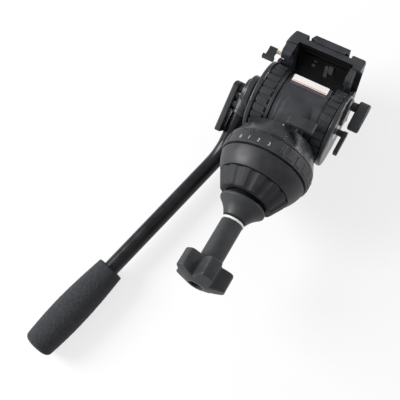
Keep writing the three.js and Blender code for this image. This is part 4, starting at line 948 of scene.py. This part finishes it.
front_plan = np.concatenate([
    arc((-7.5, -33.7), 5, 180, 270, 6),
    arc((11.5, -33.7), 5, 270, 360, 6),
    [(16.5, -16), (-12.5, -16)],
])
back_plan = front_plan[::-1] * [1, -1]


# %% Housing
def tilt_disc(low_x, high_x, radius, inner=9.3, corner=1.0):
    """A round disc on the tilt axis, with a bore."""
    profile = [(inner, low_x), (radius, low_x), (radius, high_x), (inner, high_x)]
    return along_x(lathe(profile, 200, corner), AXIS)


core = [(17, COLUMN_FOOT), (21.5, COLUMN_FOOT), (21.5, CORE_TOP), (17, CORE_TOP)]
build("housing", [
    along_x(slab(face_outline, -17.5, 27.6, 0.9), AXIS),
    tilt_disc(-22, -17, 38.5), tilt_disc(26, 29.2, 38.5), tilt_disc(-40.6, 41.4, 24),
    column_part(front_plan, COLUMN_FOOT, COLUMN_TOP, 48),
    column_part(back_plan, COLUMN_FOOT, COLUMN_TOP, 48),
    lathe(core, 120, 0.4),
], housing_paint)

# %% [markdown]
# ## Levers
# The handle's wing is a ribbed hub with a long blade, and the balance lever a slim one. Both
# are slabs: a round hub outline drawn out to a tip, with a rim that a hand finds comfortable.
# The wing rests at an angle of its own, so it is turned by another matrix than the handle.

# %% Wing
WING_UP = about_x(math.radians(36))
RIBS, RIB_RADIUS, RIB_DEPTH = 24, 6.2, 0.5


def blade_outline(top, half_width, tip_z, tip_corner):
    """Half an ellipse above the axis, straight sides, and a squared tip with round corners."""
    return np.concatenate([
        arc((0, 0), top, 0, 180, 24) * [half_width / top, 1],
        arc((-half_width + tip_corner, tip_z + tip_corner), tip_corner, 180, 270, 6),
        arc((half_width - tip_corner, tip_z + tip_corner), tip_corner, 270, 360, 6),
    ])


rib_angle = np.linspace(0, 2 * np.pi, RIBS * 8, endpoint=False)
rib_radius = RIB_RADIUS - RIB_DEPTH * (np.cos(RIBS * rib_angle) > 0.2)
ribbed_hub = np.stack([rib_radius * np.cos(rib_angle), rib_radius * np.sin(rib_angle)], axis=-1)
wing_cap = lathe([(0, -77.4), (4.6, -77.4), (5.8, -76.6), (5.8, -75.6), (0, -75.6)], 80, 0.5)
build("handle_wing_lever", [
    swung(along_x(slab(blade_outline(5.9, 9.6, -54.0, 2.6), -77.3, -70.3, 1.2)), WING_UP),
    swung(along_x(slab(ribbed_hub, -76.4, -64.5, 0.3)), WING_UP),
    swung(along_x(wing_cap), WING_UP),
])

# %% Balance lever
balance_hub = lathe([(0, 47.7), (3.6, 47.7), (3.6, 55.6), (0, 55.6)], 48, 0.4)
build("balance_lever", [
    along_x(slab(blade_outline(4.4, 4.0, -26.0, 1.6), 54.6, 59.5, 0.9), AXIS),
    along_x(balance_hub, AXIS),
])

# %% [markdown]
# ## Label strip
# On the housing's front sits a strip of pale film with a thin red line along its lower edge,
# and a dull dark band below it. Each is a slab less than a millimetre thick, because a real
# film has an edge that catches light, which a patch of colour on the housing would lack.

# %% Label strip
LABEL_AT = np.array((4.0, -39.25, 95.9))
strip = slab(rounded_box(-20.2, 20.2, -4.3, 4.3, 0.8), 0, 0.7, 0.15)
line = slab(rounded_box(-19.2, 19.2, -3.7, -3.0, 0.2), 0.65, 0.78, 0.03)
shade = slab(rounded_box(-20.2, 20.2, -8.0, -4.2, 0.5), 0, 0.4, 0.1)


def on_face(part):
    """Turns a flat shape so that it stands on the housing's front: its Y goes up."""
    points = part[0]
    stood = np.stack([points[..., 0], -points[..., 2], points[..., 1]], axis=-1)
    return stood + LABEL_AT, part[1]


build("label_strip", [on_face(strip)], film)
build("label_strip", [on_face(line)], red_ink, "label_line", stands_for=False)
build("label_strip", [on_face(shade)], plum_film, "label_shade", stands_for=False)

# %% [markdown]
# ## Table, light and world
# The head lies on the back edge of its platform and on the grip, so the table is a plane
# through those two lines, a little further off so that nothing touches it. Seen by the camera
# or in a mirror it glows nearly white, and a part of its white is left to the lamps, so it
# keeps the object's shadow. To light that bounces it glows less. From its far side it isn't
# there, so the back of the head can be looked at. The world is white to the camera in the
# same way, but a mirror shows its dimmer sky, which keeps the highlights on black paint soft.

# %% Table
TABLE_LINE_A = np.array([0.0, 54.0, 146.0])
TABLE_LINE_B = np.array([0.0, 129.0, -260.0])
TABLE_HALF = 3000.0
SIGNS = ((-1, -1), (1, -1), (1, 1), (-1, 1))
along = (TABLE_LINE_B - TABLE_LINE_A) / np.linalg.norm(TABLE_LINE_B - TABLE_LINE_A)
middle_point = (TABLE_LINE_A + TABLE_LINE_B) / 2
across = np.array([TABLE_HALF, 0, 0])
corners = [middle_point + sx * across + sy * TABLE_HALF * along for sx, sy in SIGNS]
table_mesh = bpy.data.meshes.new("table")
table_mesh.from_pydata((np.array(corners) * MM).tolist(), [], [[0, 1, 2, 3]])
if table_mesh.polygons[0].normal.y > 0:
    table_mesh.flip_normals()
table = bpy.data.objects.new("table", table_mesh)
bpy.context.scene.collection.objects.link(table)
print("the table leans by", round(math.degrees(math.acos(-along[2])), 1), "degrees")


# %% What the camera's rays see
def seen_rays(tree, kinds=("Is Glossy Ray", "Is Transmission Ray")):
    """One value: 1 for camera rays and those of the kinds named, 0 for all others."""
    rays = tree.nodes.new("ShaderNodeLightPath")
    value = rays.outputs["Is Camera Ray"]
    for kind in kinds:
        larger = tree.nodes.new("ShaderNodeMath")
        larger.operation = "MAXIMUM"
        tree.links.new(value, larger.inputs[0])
        tree.links.new(rays.outputs[kind], larger.inputs[1])
        value = larger.outputs["Value"]
    return value


# %% Table material
TABLE_WHITE = (0.22, 0.22, 0.225, 1)
GLOW_FOR_BOUNCES, GLOW_SEEN = 0.22, 0.73
table_finish = bpy.data.materials.new("white_table")
table_finish.use_nodes = True
tree = table_finish.node_tree
new, link = tree.nodes.new, tree.links.new
tree.nodes.remove(tree.nodes["Principled BSDF"])
white = new("ShaderNodeBsdfDiffuse")
white.inputs["Color"].default_value = TABLE_WHITE
glow = new("ShaderNodeEmission")
glow.inputs["Color"].default_value = (1.0, 1.0, 1.0, 1)
both = new("ShaderNodeAddShader")
link(white.outputs["BSDF"], both.inputs[0])
link(glow.outputs["Emission"], both.inputs[1])
clear = new("ShaderNodeBsdfTransparent")
side = new("ShaderNodeNewGeometry")
front = new("ShaderNodeMath")
front.operation = "SUBTRACT"
front.inputs[0].default_value = 1.0
link(side.outputs["Backfacing"], front.inputs[1])
level = new("ShaderNodeMapRange")
level.inputs["To Min"].default_value = GLOW_FOR_BOUNCES
level.inputs["To Max"].default_value = GLOW_SEEN
link(seen_rays(tree), level.inputs["Value"])
link(level.outputs["Result"], glow.inputs["Strength"])
pick = new("ShaderNodeMixShader")
link(front.outputs["Value"], pick.inputs["Fac"])
link(clear.outputs["BSDF"], pick.inputs[1])
link(both.outputs["Shader"], pick.inputs[2])
link(pick.outputs["Shader"], tree.nodes["Material Output"].inputs["Surface"])
table.data.materials.append(table_finish)
print("table material:", len(tree.nodes), "nodes")


# %% Lamps
def lamp(name, at, aim, size, power):
    """A square soft box at a point, turned to face another. Size in metres, power in watts."""
    data = bpy.data.lights.new(name, "AREA")
    data.size = size
    data.energy = power
    item = bpy.data.objects.new(name, data)
    item.location = at
    item.rotation_euler = (Vector(aim) - Vector(at)).to_track_quat("-Z", "Y").to_euler()
    bpy.context.scene.collection.objects.link(item)
    print("lamp", name, "at", np.round(at, 2))


right, up, back = AXES
centre = np.array([0, 20, -20]) * MM
lamp("key", centre + (-1.4 * right + 0.5 * up + 0.6 * back), centre, 0.8, 36)
lamp("side", centre + (1.2 * right + 0.5 * up + 0.0 * back), centre, 0.6, 16)

# %% World
SKY_STRENGTH = 0.5
SEEN_WHITE = (0.97, 0.97, 0.97, 1)
world = bpy.data.worlds.new("white_room")
world.use_nodes = True
tree = world.node_tree
sky = tree.nodes["Background"]
sky.inputs["Color"].default_value = (1, 1, 1, 1)
sky.inputs["Strength"].default_value = SKY_STRENGTH
seen = tree.nodes.new("ShaderNodeBackground")
seen.inputs["Color"].default_value = SEEN_WHITE
seen.inputs["Strength"].default_value = 1.0
choose = tree.nodes.new("ShaderNodeMixShader")
tree.links.new(seen_rays(tree, ("Is Transmission Ray",)), choose.inputs["Fac"])
tree.links.new(sky.outputs["Background"], choose.inputs[1])
tree.links.new(seen.outputs["Background"], choose.inputs[2])
tree.links.new(choose.outputs["Shader"], tree.nodes["World Output"].inputs["Surface"])
bpy.context.scene.world = world
bpy.context.scene.view_settings.view_transform = "Standard"
print("sky strength", SKY_STRENGTH, "with the view transform Standard")
